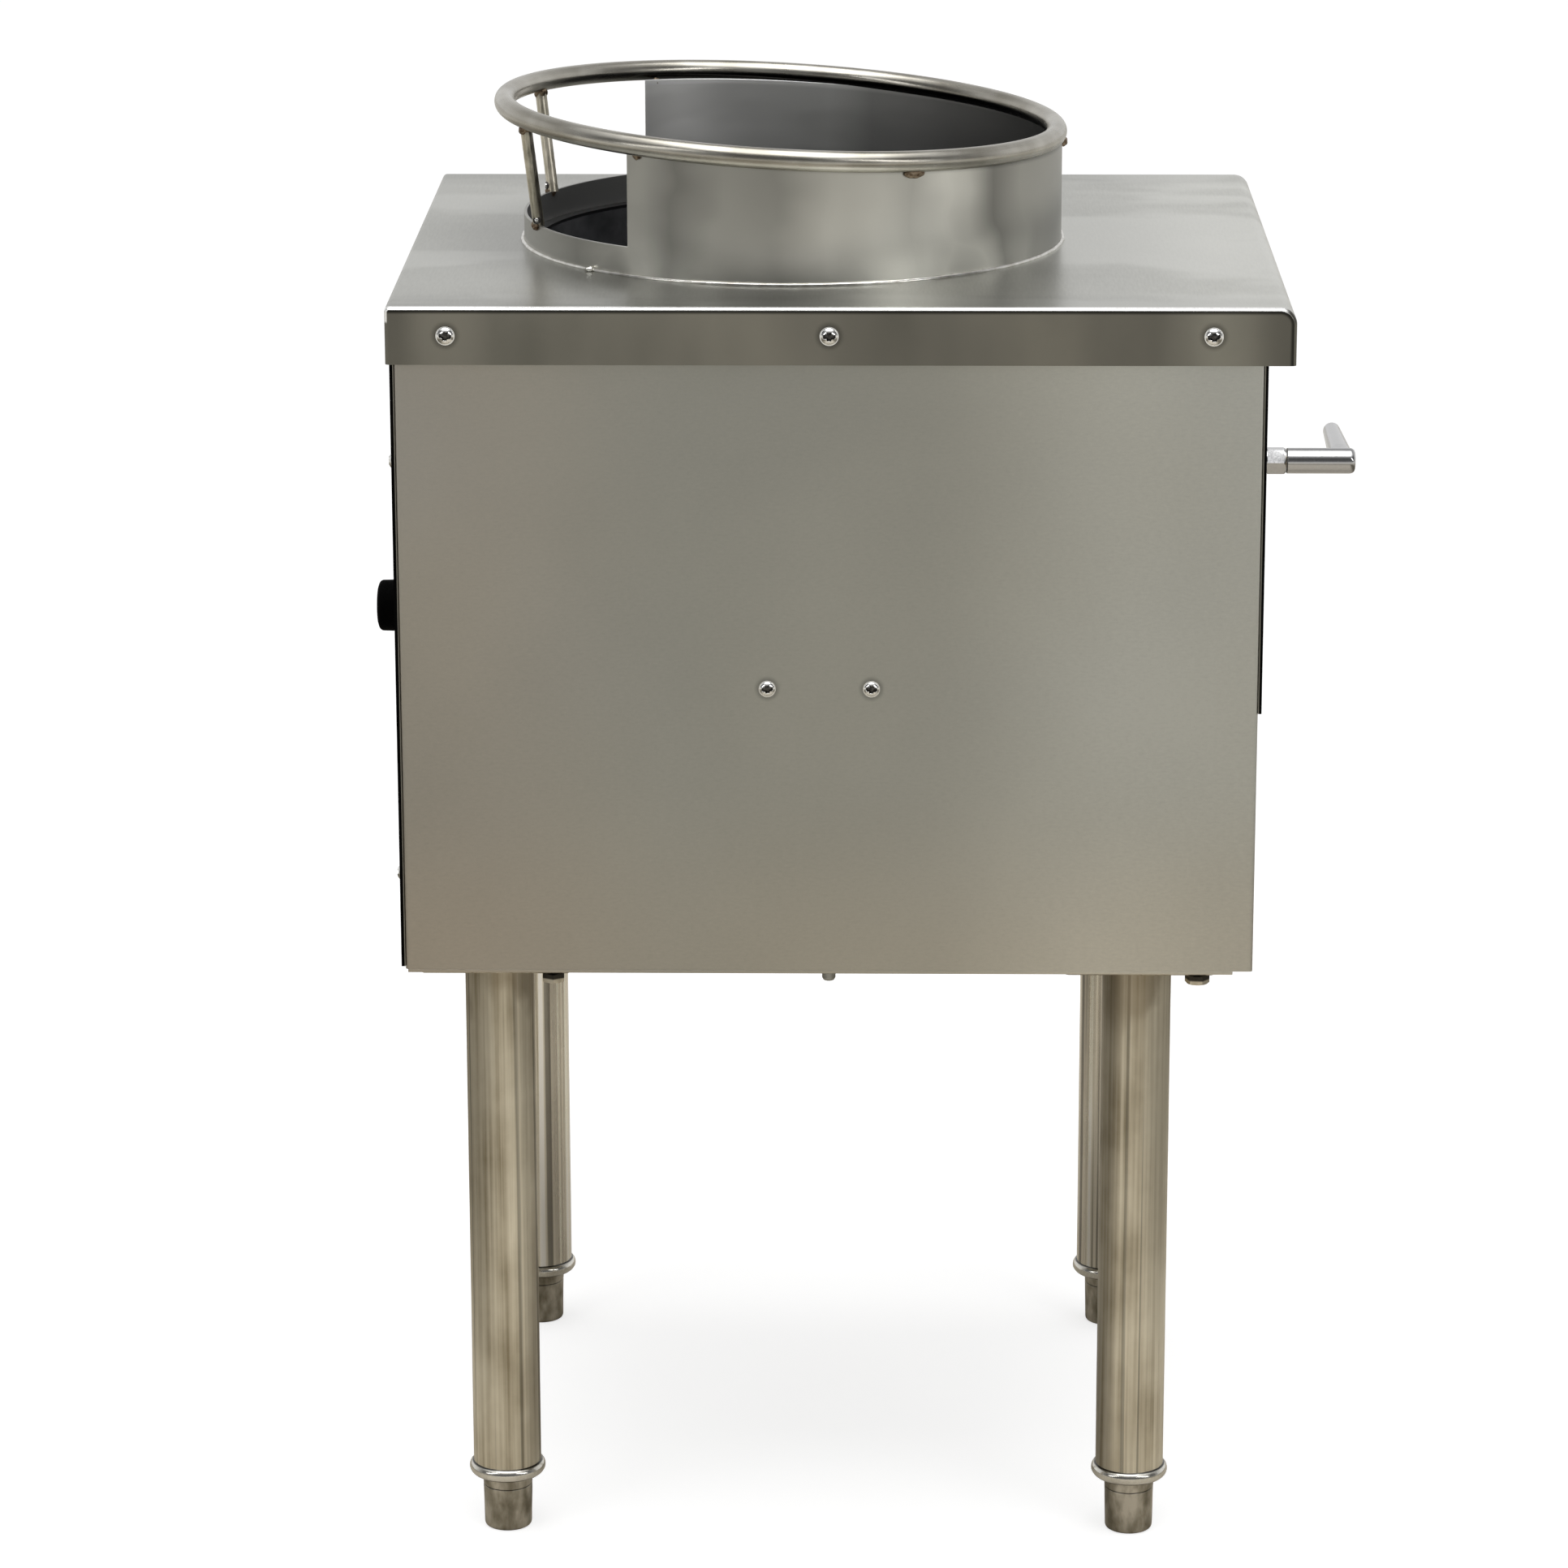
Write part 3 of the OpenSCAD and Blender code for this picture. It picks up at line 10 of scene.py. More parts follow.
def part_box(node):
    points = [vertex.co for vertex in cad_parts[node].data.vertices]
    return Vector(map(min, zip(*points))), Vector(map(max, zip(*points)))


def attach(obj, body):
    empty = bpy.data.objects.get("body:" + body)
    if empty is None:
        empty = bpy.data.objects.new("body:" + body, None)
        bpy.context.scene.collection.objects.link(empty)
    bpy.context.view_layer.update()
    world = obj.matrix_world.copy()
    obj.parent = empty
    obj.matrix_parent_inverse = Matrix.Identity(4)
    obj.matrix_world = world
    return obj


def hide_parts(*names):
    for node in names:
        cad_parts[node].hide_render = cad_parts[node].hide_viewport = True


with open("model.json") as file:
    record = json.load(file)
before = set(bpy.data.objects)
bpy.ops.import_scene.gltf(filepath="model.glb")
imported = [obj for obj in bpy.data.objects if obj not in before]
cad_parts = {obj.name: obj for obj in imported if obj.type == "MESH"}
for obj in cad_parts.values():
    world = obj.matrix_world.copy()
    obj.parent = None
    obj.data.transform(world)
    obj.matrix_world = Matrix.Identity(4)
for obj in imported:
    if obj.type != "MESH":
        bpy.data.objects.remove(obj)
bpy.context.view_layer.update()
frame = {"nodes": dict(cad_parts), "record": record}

MM = 0.001
TURN = 2 * pi

# The camera stands at the range's left side, a little above it
EYE = (-3.5126, -0.0058, 1.4184)
PITCH, YAW, ROLL = 0.27346, 0.0176, 0.00199
LENS = 130.93
SENSOR = 36
CLIP_END = 200


def add_object(name, data):
    made = bpy.data.objects.new(name, data)
    bpy.context.scene.collection.objects.link(made)
    return made


def add_camera():
    data = bpy.data.cameras.new("camera")
    data.lens = LENS
    data.sensor_width = SENSOR
    data.clip_end = CLIP_END
    camera = add_object("camera", data)
    turn = Euler((pi / 2 - PITCH, 0, YAW - pi / 2)).to_matrix()
    turn = turn @ Matrix.Rotation(-ROLL, 3, "Z")
    camera.matrix_world = Matrix.Translation(EYE) @ turn.to_4x4()
    bpy.context.scene.camera = camera


add_camera()


# Sizes, in millimetres, in the part's own frame

def span(node):
    """Lowest and highest corner of a node."""
    low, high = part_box(node)
    return low / MM, high / MM


def middle(node):
    low, high = span(node)
    return (low + high) / 2


TOP_LOW, TOP_HIGH = span("top_sheet")
TOP_Z = TOP_HIGH.z
REAR_Y = TOP_HIGH.y
PANEL_LOW, PANEL_HIGH = span("side_panel_left")
SIDE_X = -PANEL_LOW.x
LIP_BEND = 10
COLLAR = middle("collar_weld")
COLLAR_R = 167
COLLAR_WALL = 2
LOW_RIM = 17.8
VENT_Y = REAR_Y - 138.5
RING = Vector((0, COLLAR.y + 7.2, TOP_Z + 76.8))
RING_R = 171.1
RING_TUBE = 6.35
RING_SLOPE = radians(3.25)
RISE = tan(RING_SLOPE)
EDGE_DROP = 4.5
VALVE = middle("panel_locknut")
LEG_TOP = span("leg_front_left")[1].z
LEG_PLATE = LEG_TOP - 4.5          # the underside of the plates on the legs
SKIRT_SCREWS = [(TOP_HIGH.x, REAR_Y - back, TOP_Z - 16.8) for back in (35.7, 260.3, 484.9)]
RAIL_SCREWS = [(SIDE_X, REAR_Y - 254.5 + end, TOP_Z - 230.3) for end in (-31, 31)]


def polar(radius, angle, z=0.0):
    """Angle 0 is +X, a quarter turn is the rear."""
    return Vector((radius * cos(angle), radius * sin(angle), z))


def angles(count):
    """Even angles round one turn."""
    return [TURN * k / count for k in range(count)]


def ring_point(angle):
    """A point on the pot ring's middle line."""
    return RING + Matrix.Rotation(RING_SLOPE, 3, "X") @ polar(RING_R, angle)


def collar_top(y):
    """Height of the collar's sloped upper edge."""
    return RING.z - EDGE_DROP / cos(RING_SLOPE) + (y - RING.y) * RISE


# Mesh helpers: a shape is a list of points in millimetres and a list of faces

class Shape:
    def __init__(self, points=(), faces=()):
        self.points = list(points)
        self.faces = list(faces)
        self.marked = set()      # faces that take a second finish

    def join(self, other, place=None):
        start, first = len(self.points), len(self.faces)
        self.points += [place @ p if place else p for p in other.points]
        self.faces += [[start + i for i in face] for face in other.faces]
        self.marked |= {first + i for i in other.marked}
        return self

    def moved(self, place):
        return Shape().join(self, place)


def put(point, toward=(0, 0, 1), turn=0.0):
    """Places a shape that stands along +Z at a point, so that it stands along another direction."""
    lean = Vector((0, 0, 1)).rotation_difference(Vector(toward).normalized()).to_matrix().to_4x4()
    return Matrix.Translation(Vector(point)) @ lean @ Matrix.Rotation(turn, 4, "Z")


def loft(rows, closed=False):
    """A skin over rows of points, each row a ring; two flat ends, unless the last row meets the first."""
    count, sides = len(rows), len(rows[0])
    shape = Shape(p for row in rows for p in row)
    for r in range(count if closed else count - 1):
        a, b = r * sides, (r + 1) % count * sides
        for i in range(sides):
            j = (i + 1) % sides
            shape.faces.append([a + i, a + j, b + j, b + i])
    if not closed:
        end = (count - 1) * sides
        shape.faces += [list(range(sides - 1, -1, -1)), list(range(end, end + sides))]
    return shape


def lathe(profile, sides=96, closed=False, wave=None):
    """Turns a profile of (radius, height) pairs round +Z; wave(angle, height) is added to the radius."""
    shape = Shape()
    rings = []
    for radius, height in profile:
        start = len(shape.points)
        if radius < 1e-6:
            shape.points.append(Vector((0, 0, height)))
            rings.append([start] * sides)
            continue
        for angle in angles(sides):
            far = radius + (wave(angle, height) if wave else 0)
            shape.points.append(polar(far, angle, height))
        rings.append(list(range(start, start + sides)))
    for a, b in zip(rings, rings[1:] + rings[:closed]):
        for i in range(sides):
            j = (i + 1) % sides
            face = list(dict.fromkeys((a[i], a[j], b[j], b[i])))
            if len(face) > 2:
                shape.faces.append(face)
    return shape


def rounded(corners, steps=5):
    """Rounds an outline; a corner is (x, y), or (x, y, radius) where it is round."""
    flat = [Vector(corner[:2]) for corner in corners]
    out = []
    for i, here in enumerate(flat):
        if len(corners[i]) < 3:
            out.append(tuple(here))
            continue
        before, after = flat[i - 1] - here, flat[(i + 1) % len(flat)] - here
        reach = corners[i][2] / tan(before.angle(after) / 2)
        reach = min(reach, before.length * 0.49, after.length * 0.49)
        start, end = here + before.normalized() * reach, here + after.normalized() * reach
        for t in (k / steps for k in range(steps + 1)):
            out.append(tuple((1 - t) ** 2 * start + 2 * t * (1 - t) * here + t * t * end))
    return out


def split_long(profile, limit, parts):
    """Splits a profile's runs that are higher than a limit, so that a wave can bend them."""
    rows = []
    for (r1, z1), (r2, z2) in zip(profile, profile[1:]):
        n = parts if abs(z2 - z1) > limit else 1
        rows += [(r1 + (r2 - r1) * s / n, z1 + (z2 - z1) * s / n) for s in range(n)]
    return rows + [profile[-1]]


def prism(outline, low, high):
    """A solid between two heights over a flat outline, which runs anticlockwise."""
    return loft([[Vector((x, y, z)) for x, y in outline] for z in (low, high)])


def sweep(path, radius, sides, closed=False, swell=None):
    """A tube along a path; swell(step share, angle) is added to its radius."""
    n = len(path)
    rows, side = [], None
    for k, here in enumerate(path):
        if closed:
            ahead = path[(k + 1) % n] - path[k - 1]
        else:
            ahead = path[min(k + 1, n - 1)] - path[max(k - 1, 0)]
        ahead.normalize()
        if side is None:
            side = ahead.orthogonal().normalized()
        side = (side - ahead * side.dot(ahead)).normalized()
        other = ahead.cross(side)
        row = []
        for angle in angles(sides):
            far = radius + (swell(k / n, angle) if swell else 0)
            row.append(here + far * (cos(angle) * side + sin(angle) * other))
        rows.append(row)
    return loft(rows, closed)


def ripple(seed, pitch, size):
    """A noise of a given size along a turn, which closes on itself."""
    def wave(angle, height=0.0):
        return size * noise.noise(polar(pitch, angle, height * 0.05 + seed))
    return wave


def make(name, shape, slot, replaces=(), body="cabinet", finish=None, second=None, bevel=0.0, smooth=40):
    """Makes a piece of a shape and lets it ride on a body; its finish is its slot's, if none is named."""
    mesh = bpy.data.meshes.new(name)
    mesh.from_pydata([tuple(p * MM) for p in shape.points], [], shape.faces)
    for i in shape.marked:
        mesh.polygons[i].material_index = 1
    build = bmesh.new()
    build.from_mesh(mesh)
    loose = [point for point in build.verts if not point.link_faces]
    bmesh.ops.delete(build, geom=loose, context="VERTS")
    bmesh.ops.recalc_face_normals(build, faces=build.faces)
    build.to_mesh(mesh)
    build.free()
    mesh.shade_smooth()
    mesh.set_sharp_from_angle(angle=radians(smooth))
    mesh.materials.append(FINISHES[finish or slot].material)
    if second:
        mesh.materials.append(FINISHES[second].material)
    piece = add_object(name, mesh)
    if bevel:
        edge = piece.modifiers.new("edges", "BEVEL")
        edge.width = bevel * MM
        edge.segments = 2
        edge.limit_method = "ANGLE"
        edge.angle_limit = radians(smooth)
        edge.harden_normals = True
    else:
        even = piece.modifiers.new("normals", "WEIGHTED_NORMAL")
        even.keep_sharp = True
    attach(piece, body)
    if replaces:
        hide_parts(*replaces)


# Finishes, kept by their names

FINISHES = {}


class Nodes:
    """Puts nodes into a cleared tree. Inputs are constants, sockets, or nodes for their first output."""
    def __init__(self, tree):
        self.tree = tree
        tree.nodes.clear()

    def add(self, kind, inputs=(), **settings):
        node = self.tree.nodes.new(kind)
        for key, value in settings.items():
            setattr(node, key, value)
        for key, value in dict(inputs).items():
            if isinstance(value, bpy.types.Node):
                value = value.outputs[0]
            if isinstance(value, bpy.types.NodeSocket):
                self.tree.links.new(value, node.inputs[key])
            else:
                node.inputs[key].default_value = value
        return node

    def grade(self, value, low, high, to_low=0.0, to_high=1.0):
        """A smooth step between two values."""
        return self.add("ShaderNodeMapRange", {0: value, 1: low, 2: high, 3: to_low, 4: to_high},
                        interpolation_type="SMOOTHSTEP").outputs[0]

    def ramp(self, value, stops):
        """Tones along a value, each a grey number or a colour."""
        node = self.add("ShaderNodeValToRGB", {0: value})
        band = node.color_ramp
        while len(band.elements) < len(stops):
            band.elements.new(0.5)
        for element, (spot, tone) in zip(band.elements, stops):
            element.position = spot
            element.color = (*(tone if isinstance(tone, tuple) else (tone, tone, tone)), 1)
        return node.outputs[0]

    def mix(self, share, a, b, how="MIX"):
        ends = [(*c, 1) if isinstance(c, tuple) else c for c in (a, b)]
        return self.add("ShaderNodeMix", {0: share, 6: ends[0], 7: ends[1]},
                        data_type="RGBA", blend_type=how).outputs[2]


class Finish(Nodes):
    """One procedural material round one shader; its x, y and z are in millimetres."""
    def __init__(self, name, metallic, roughness, specular=0.5):
        FINISHES[name] = self
        self.material = bpy.data.materials.new(name)
        self.material.use_nodes = True
        super().__init__(self.material.node_tree)
        self.shader = self.add("ShaderNodeBsdfPrincipled", {
            "Metallic": metallic, "Roughness": roughness, "Specular IOR Level": specular})
        self.out = self.add("ShaderNodeOutputMaterial", {0: self.shader})
        self.where = self.add("ShaderNodeTexCoord").outputs["Object"]
        scaled = self.add("ShaderNodeVectorMath", {0: self.where, 1: (1 / MM,) * 3}, operation="MULTIPLY")
        self.x, self.y, self.z = self.add("ShaderNodeSeparateXYZ", {0: scaled}).outputs

    def noise(self, scale, detail=2.0, stretch=(1, 1, 1), shift=0.0):
        spot = self.add("ShaderNodeMapping", {
            "Vector": self.where, "Scale": stretch, "Location": (shift, shift, shift)})
        return self.add("ShaderNodeTexNoise", {
            "Vector": spot, "Scale": scale, "Detail": detail}).outputs[0]

    def math(self, how, a, b=0.0):
        return self.add("ShaderNodeMath", {0: a, 1: b}, operation=how).outputs[0]

    def plus(self, a, b):
        return self.math("ADD", a, b)

    def minus(self, a, b):
        return self.math("SUBTRACT", a, b)

    def size(self, value):
        return self.math("ABSOLUTE", value)

    def times(self, first, *others):
        for other in others:
            first = self.math("MULTIPLY", first, other)
        return first

    def blend(self, *parts):
        """The sum of values, each with its share."""
        total = 0.0
        for value, share in parts:
            total = self.plus(total, self.times(value, share))
        return total

    def length(self, a, b):
        return self.math("SQRT", self.plus(self.times(a, a), self.times(b, b)))

    def round(self, axis):
        """The angle round an upright axis, 0.5 on the left and 0.75 in front, and the radius."""
        across, along = self.minus(axis.x, self.x), self.minus(axis.y, self.y)
        turn = self.math("DIVIDE", self.math("ARCTAN2", along, across), TURN)
        return self.plus(turn, 0.5), self.length(across, along)

    def over_slope(self):
        """Height measured from a plane that slopes like the pot ring."""
        return self.minus(self.z, self.times(self.y, RISE))

    def halo(self, spots, inner, outer, level):
        """Paints shade round screw heads, darkening the sheet there on the left and the right alike."""
        both = self.add("ShaderNodeCombineXYZ", {0: self.size(self.x), 1: self.y, 2: self.z})
        gaps = (self.add("ShaderNodeVectorMath", {0: both, 1: spot}, operation="DISTANCE")
                for spot in spots)
        return self.times(*(self.grade(gap.outputs["Value"], inner, outer, level, 1.0) for gap in gaps))

    def grow(self, tint, factor):
        """Multiplies a tint by a number's socket or another tint."""
        return self.mix(1.0, tint, factor, "MULTIPLY")

    def wire(self, value, socket):
        self.tree.links.new(value, self.shader.inputs[socket])

    def colour(self, value):
        self.wire(value, "Base Color")

    def rough(self, value):
        self.wire(value, "Roughness")

    def bump(self, height, depth):
        """depth is in millimetres."""
        node = self.add("ShaderNodeBump", {"Height": height, "Distance": depth * MM})
        self.wire(node.outputs[0], "Normal")


def brushed(name, dark, light, roughness, grain=(1, 1, 1), spread=0.06, blotch=5.0, depth=0.02):
    """Steel with a grain, soft blotches and fine speckle; grain is small along the grain."""
    f = Finish(name, 1.0, roughness)
    lines = f.noise(700, 2, grain)
    tone = f.blend((f.noise(blotch, 3), 0.6), (lines, 0.3), (f.noise(900, 1, shift=3), 0.1))
    f.tint = f.ramp(tone, [(0.36, dark), (0.62, light)])
    f.colour(f.tint)
    f.rough(f.grade(lines, 0.3, 0.7, roughness - spread, roughness + spread))
    f.bump(lines, depth)
    return f


def grained(name, dark, light, metallic, roughness, scale, depth, specular=0.5):
    """Cast, sooty or plain metal, or plastic, with one even grain."""
    f = Finish(name, metallic, roughness, specular)
    grain = f.noise(scale, 4)
    f.colour(f.ramp(grain, [(0.35, dark), (0.65, light)]))
    f.rough(f.grade(grain, 0.3, 0.7, roughness - 0.08, roughness + 0.08))
    f.bump(grain, depth)


def scaly(name, roughness, scale, detail, stops, depth, stretch=(1, 1, 1)):
    """Metal with one noise for its tones and its bumps."""
    f = Finish(name, 1.0, roughness)
    grain = f.noise(scale, detail, stretch)
    f.colour(f.ramp(grain, stops))
    f.bump(grain, depth)


def panel_finish():
    """Sheet, lighter towards its front and lighter and warmer low down, both a painted reflection of the
    floor; warmer towards its rear, with painted shade round its screws.
    """
    f = brushed("panel_steel", (0.405, 0.413, 0.392), (0.487, 0.495, 0.468), 0.42,
                (1, 0.35, 1), blotch=3.5, depth=0.012)
    length = PANEL_HIGH.y - PANEL_LOW.y
    tint = f.tint
    # Random warmth; a painted reflection of the floor, lighter and warmer low down; warmth towards the rear
    for share, warmth in (
            (f.grade(f.noise(2.2, 2, shift=11), 0.38, 0.62), (1.02, 1, 0.96)),
            (f.grade(f.z, PANEL_LOW.z, PANEL_LOW.z + 130, 1, 0), (1.1, 1.05, 1)),
            (f.grade(f.y, 0.2 * length, 0.5 * length), (1.07, 1.01, 0.97))):
        tint = f.mix(share, tint, f.grow(tint, warmth))
    # Painted reflection: lighter towards the front. Painted shade round the rail screws.
    front = f.grade(f.y, -0.04 * length, -0.31 * length, 1, 1.35)
    f.colour(f.grow(tint, f.times(front, f.halo(RAIL_SCREWS, 5, 8.5, 0.65))))


def top_finish():
    """The folded top: a smeared plate, a browner skirt and a painted highlight along the bend between them.
    """
    f = brushed("top_steel", (0.43, 0.43, 0.395), (0.54, 0.54, 0.5), 0.3, (0.12, 1, 1), depth=0.015)
    half, lip = TOP_HIGH.x, TOP_LOW.y
    across = f.size(f.x)

    # The plate is smeared, lighter in patches near its sides as painted highlights, grimy behind the collar
    # and dark inside it
    smear = f.plus(f.noise(8, 3, (1, 0.45, 1), shift=7), f.grade(f.y, -80, -240, 0, 0.07))
    edge = f.grade(across, half - 60, half - 8)
    peel = f.noise(55, 3, (1, 0.35, 1), shift=2)
    plate = f.mix(f.grade(smear, 0.5, 0.58, 0, 0.45), f.tint, (0.72, 0.72, 0.68))
    plate = f.mix(f.times(edge, f.grade(peel, 0.45, 0.65, 0, 0.5)), plate, (0.62, 0.62, 0.58))
    plate = f.grow(plate, f.times(f.grade(edge, 0, 1, 1, 0.86), f.grade(f.y, 120, 280, 1, 0.93)))
    far = f.round(COLLAR)[1]
    grimy = f.times(f.grade(far, COLLAR_R, COLLAR_R + 75, 0.28, 0), f.grade(f.y, -60, 10))
    plate = f.grow(plate, f.times(f.minus(1, grimy), f.grade(f.y, -130, -220, 1, 1.22)))
    plate = f.mix(f.grade(far, COLLAR_R - 3, COLLAR_R - 1), (0.11, 0.11, 0.114), plate)

    # The skirt is lighter near the lip and darker towards its rear end; painted shade darkens it round its
    # screws
    skirt = f.ramp(f.noise(7, 3, (1, 1, 0.4), shift=4), [
        (0.36, (0.175, 0.17, 0.145)), (0.5, (0.26, 0.25, 0.215)), (0.66, (0.34, 0.325, 0.275))])
    skirt = f.grow(skirt, f.times(
        f.grade(f.size(f.minus(f.y, lip + 43)), 0, 42, 2.3, 1), f.grade(f.y, -170, 170, 0.76, 1.12),
        f.grade(f.y, REAR_Y - 26, REAR_Y - 6, 1, 0.68), f.halo(SKIRT_SCREWS, 5.4, 9.5, 0.55)))

    # A dark line follows the lip's bend a few millimetres inside it
    out = f.math("MAXIMUM", f.minus(lip + LIP_BEND, f.y), 0)
    up = f.math("MAXIMUM", f.minus(f.z, TOP_Z - LIP_BEND), 0)
    line = f.grade(f.minus(LIP_BEND, f.length(out, up)), 2.6, 4.4, 0.24, 1)
    side = f.grade(across, half - 0.35, half - 0.1)
    skirt = f.grow(skirt, f.grade(side, 0, 1, 1, line))

    # The plate runs up to the crest of its near and far bends, and round the lip
    upper = f.grade(f.z, TOP_Z - LIP_BEND, TOP_Z - LIP_BEND + 2)
    rear = f.grade(f.y, REAR_Y - 0.35, REAR_Y - 0.1)
    sheet = f.grade(f.math("MAXIMUM", side, rear), 0, 1, upper, 0)
    # Painted highlight: a near-white line along the crest of the side bends, turning to painted shade
    # within a few millimetres of the lip
    bright = f.mix(f.grade(f.y, lip + 4, lip + 8), (0.14, 0.135, 0.12), (1, 1, 0.98))
    crest = f.grade(across, half - 4.4, half - 3.4)
    f.colour(f.mix(sheet, skirt, f.mix(crest, plate, bright)))
    f.rough(f.grade(sheet, 0, 1, 0.38, 0.3))
    f.bump(f.noise(38, 3, (1, 0.5, 1)), 0.1)


def collar_finish():
    """Rolled steel with painted reflections in upright bands outside and a painted shadow under the ring;
    inside it is duller, painted lighter towards the rear and along its top edge, and sooty behind the low
    rim.
    """
    f = Finish("collar_steel", 1, 0.36)
    tint = f.ramp(f.noise(9, 3), [(0.36, (0.9, 0.9, 0.88)), (0.62, (1, 1, 0.98))])
    # Painted reflections: upright light and dark bands round the outside, by angle
    turn, far = f.round(COLLAR)
    turn = f.plus(turn, f.grade(f.noise(9, 2, (1, 1, 2)), 0.3, 0.7, -0.006, 0.006))
    bands = f.ramp(turn, [
        (0.05, 0.5), (0.12, 0.62), (0.2, 0.46), (0.28, 0.6), (0.36, 0.44), (0.4, 0.55), (0.434, 0.27),
        (0.462, 0.46), (0.494, 0.42), (0.525, 0.71), (0.553, 0.68), (0.575, 0.52), (0.6, 0.86),
        (0.616, 0.72), (0.636, 0.27), (0.66, 0.43), (0.72, 0.38), (0.8, 0.4), (0.88, 0.6), (0.95, 0.52)])
    # Painted light: lighter near the foot and a little darker higher up
    height = f.times(f.grade(f.z, TOP_Z + 5, TOP_Z + 70, 1.06, 0.92),
                     f.grade(f.z, TOP_Z + 3, TOP_Z + 24, 1.3, 1))
    # Painted reflection bands near the foot, at half their strength, since a ramp ends at 1
    lower = f.ramp(turn, [
        (0.36, 0.5), (0.4, 0.9), (0.43, 0.425), (0.48, 0.55), (0.54, 0.43), (0.57, 0.4), (0.6, 0.56),
        (0.63, 0.61), (0.67, 0.325), (0.71, 0.28), (0.8, 0.5)])
    foot = f.grade(f.z, TOP_Z + 12, TOP_Z + 42, 1, 0)
    outer = f.grow(f.grow(bands, height), f.mix(foot, (0.5, 0.5, 0.5), lower))
    outer = f.grow(f.math("MINIMUM", f.times(outer, 2), 1), (1, 0.99, 0.93))
    # Painted shadow: darker just under the top edge, beneath the ring; darker also beyond the vent
    below, edge = f.over_slope(), collar_top(0)
    outer = f.grow(outer, f.times(f.grade(below, edge - 4, edge - 1, 1, 0.6),
                                  f.grade(f.y, VENT_Y - 12, VENT_Y + 10, 1, 0.65)))
    # Painted light: inside, dark towards the front and light towards the rear
    inner = f.ramp(f.grade(f.y, -120, 160), [
        (0, 0.14), (0.28, 0.25), (0.4, (0.31, 0.312, 0.312)), (0.55, (0.62, 0.624, 0.624)), (1, 0.98)])
    patch = f.noise(6, 3, (1, 0.6, 2.2), shift=13)
    inner = f.grow(inner, f.grade(patch, 0.46, 0.54, 0.9, 1.02))
    soot = f.grade(f.z, TOP_Z + LOW_RIM - 2, TOP_Z + LOW_RIM + 14, 0.36, 1)
    # Painted highlight along the inner top edge
    inner = f.grow(inner, f.times(soot, f.grade(below, edge - 4, edge - 1, 1, 1.5)))
    side = f.grade(far, COLLAR_R - 1.7, COLLAR_R - 0.9)
    f.colour(f.grow(tint, f.mix(side, inner, outer)))
    f.rough(f.grade(side, 0, 1, 0.36, 0.34))
    f.wire(f.grade(side, 0, 1, 0.85, 1), "Metallic")
    f.bump(f.noise(60, 2, (1, 1, 0.5)), 0.05)


def ring_finish():
    """Bent tube, rubbed along its length, and black low down on the side towards the fire with painted
    shade.
    """
    f = Finish("ring_steel", 1, 0.26)
    turn, far = f.round(RING)
    level, flat = f.over_slope(), RING.z - RING.y * RISE
    drawn_out = 0.06
    spot = f.add("ShaderNodeCombineXYZ", {0: f.times(turn, TURN * RING_R * drawn_out), 1: far, 2: level})
    lines = f.add("ShaderNodeTexNoise", {"Vector": spot, "Scale": 0.35, "Detail": 1}).outputs[0]
    tint = f.ramp(f.blend((lines, 0.25), (f.noise(26, 3), 0.75)), [
        (0.38, (0.36, 0.34, 0.29)), (0.5, (0.445, 0.425, 0.375)), (0.62, (0.55, 0.53, 0.475))])
    # Painted shade and reflection of the dark chamber: black on the tube's inner low side, less so over the
    # vent
    inner = f.grade(far, RING_R - 3.5, RING_R + 0.5, 1, 0)
    low = f.grade(level, flat - 1.6, flat + 1, 1, 0)
    over_vent = f.grade(f.y, VENT_Y - 10, VENT_Y + 45, 1, 0.25)
    f.colour(f.mix(f.times(inner, low, over_vent), tint, (0.02, 0.019, 0.018)))
    f.rough(f.grade(lines, 0.3, 0.7, 0.23, 0.31))


def strut_finish():
    """Drawn rod, blackened by painted shade where it meets the ring."""
    f = brushed("strut_steel", (0.4, 0.37, 0.29), (0.78, 0.73, 0.61), 0.34, (1, 1, 0.1), blotch=60)
    # Painted shade: darker where the rod meets the ring
    f.colour(f.grow(f.tint, f.grade(f.z, RING.z - 3, RING.z + 4, 1, 0.25)))


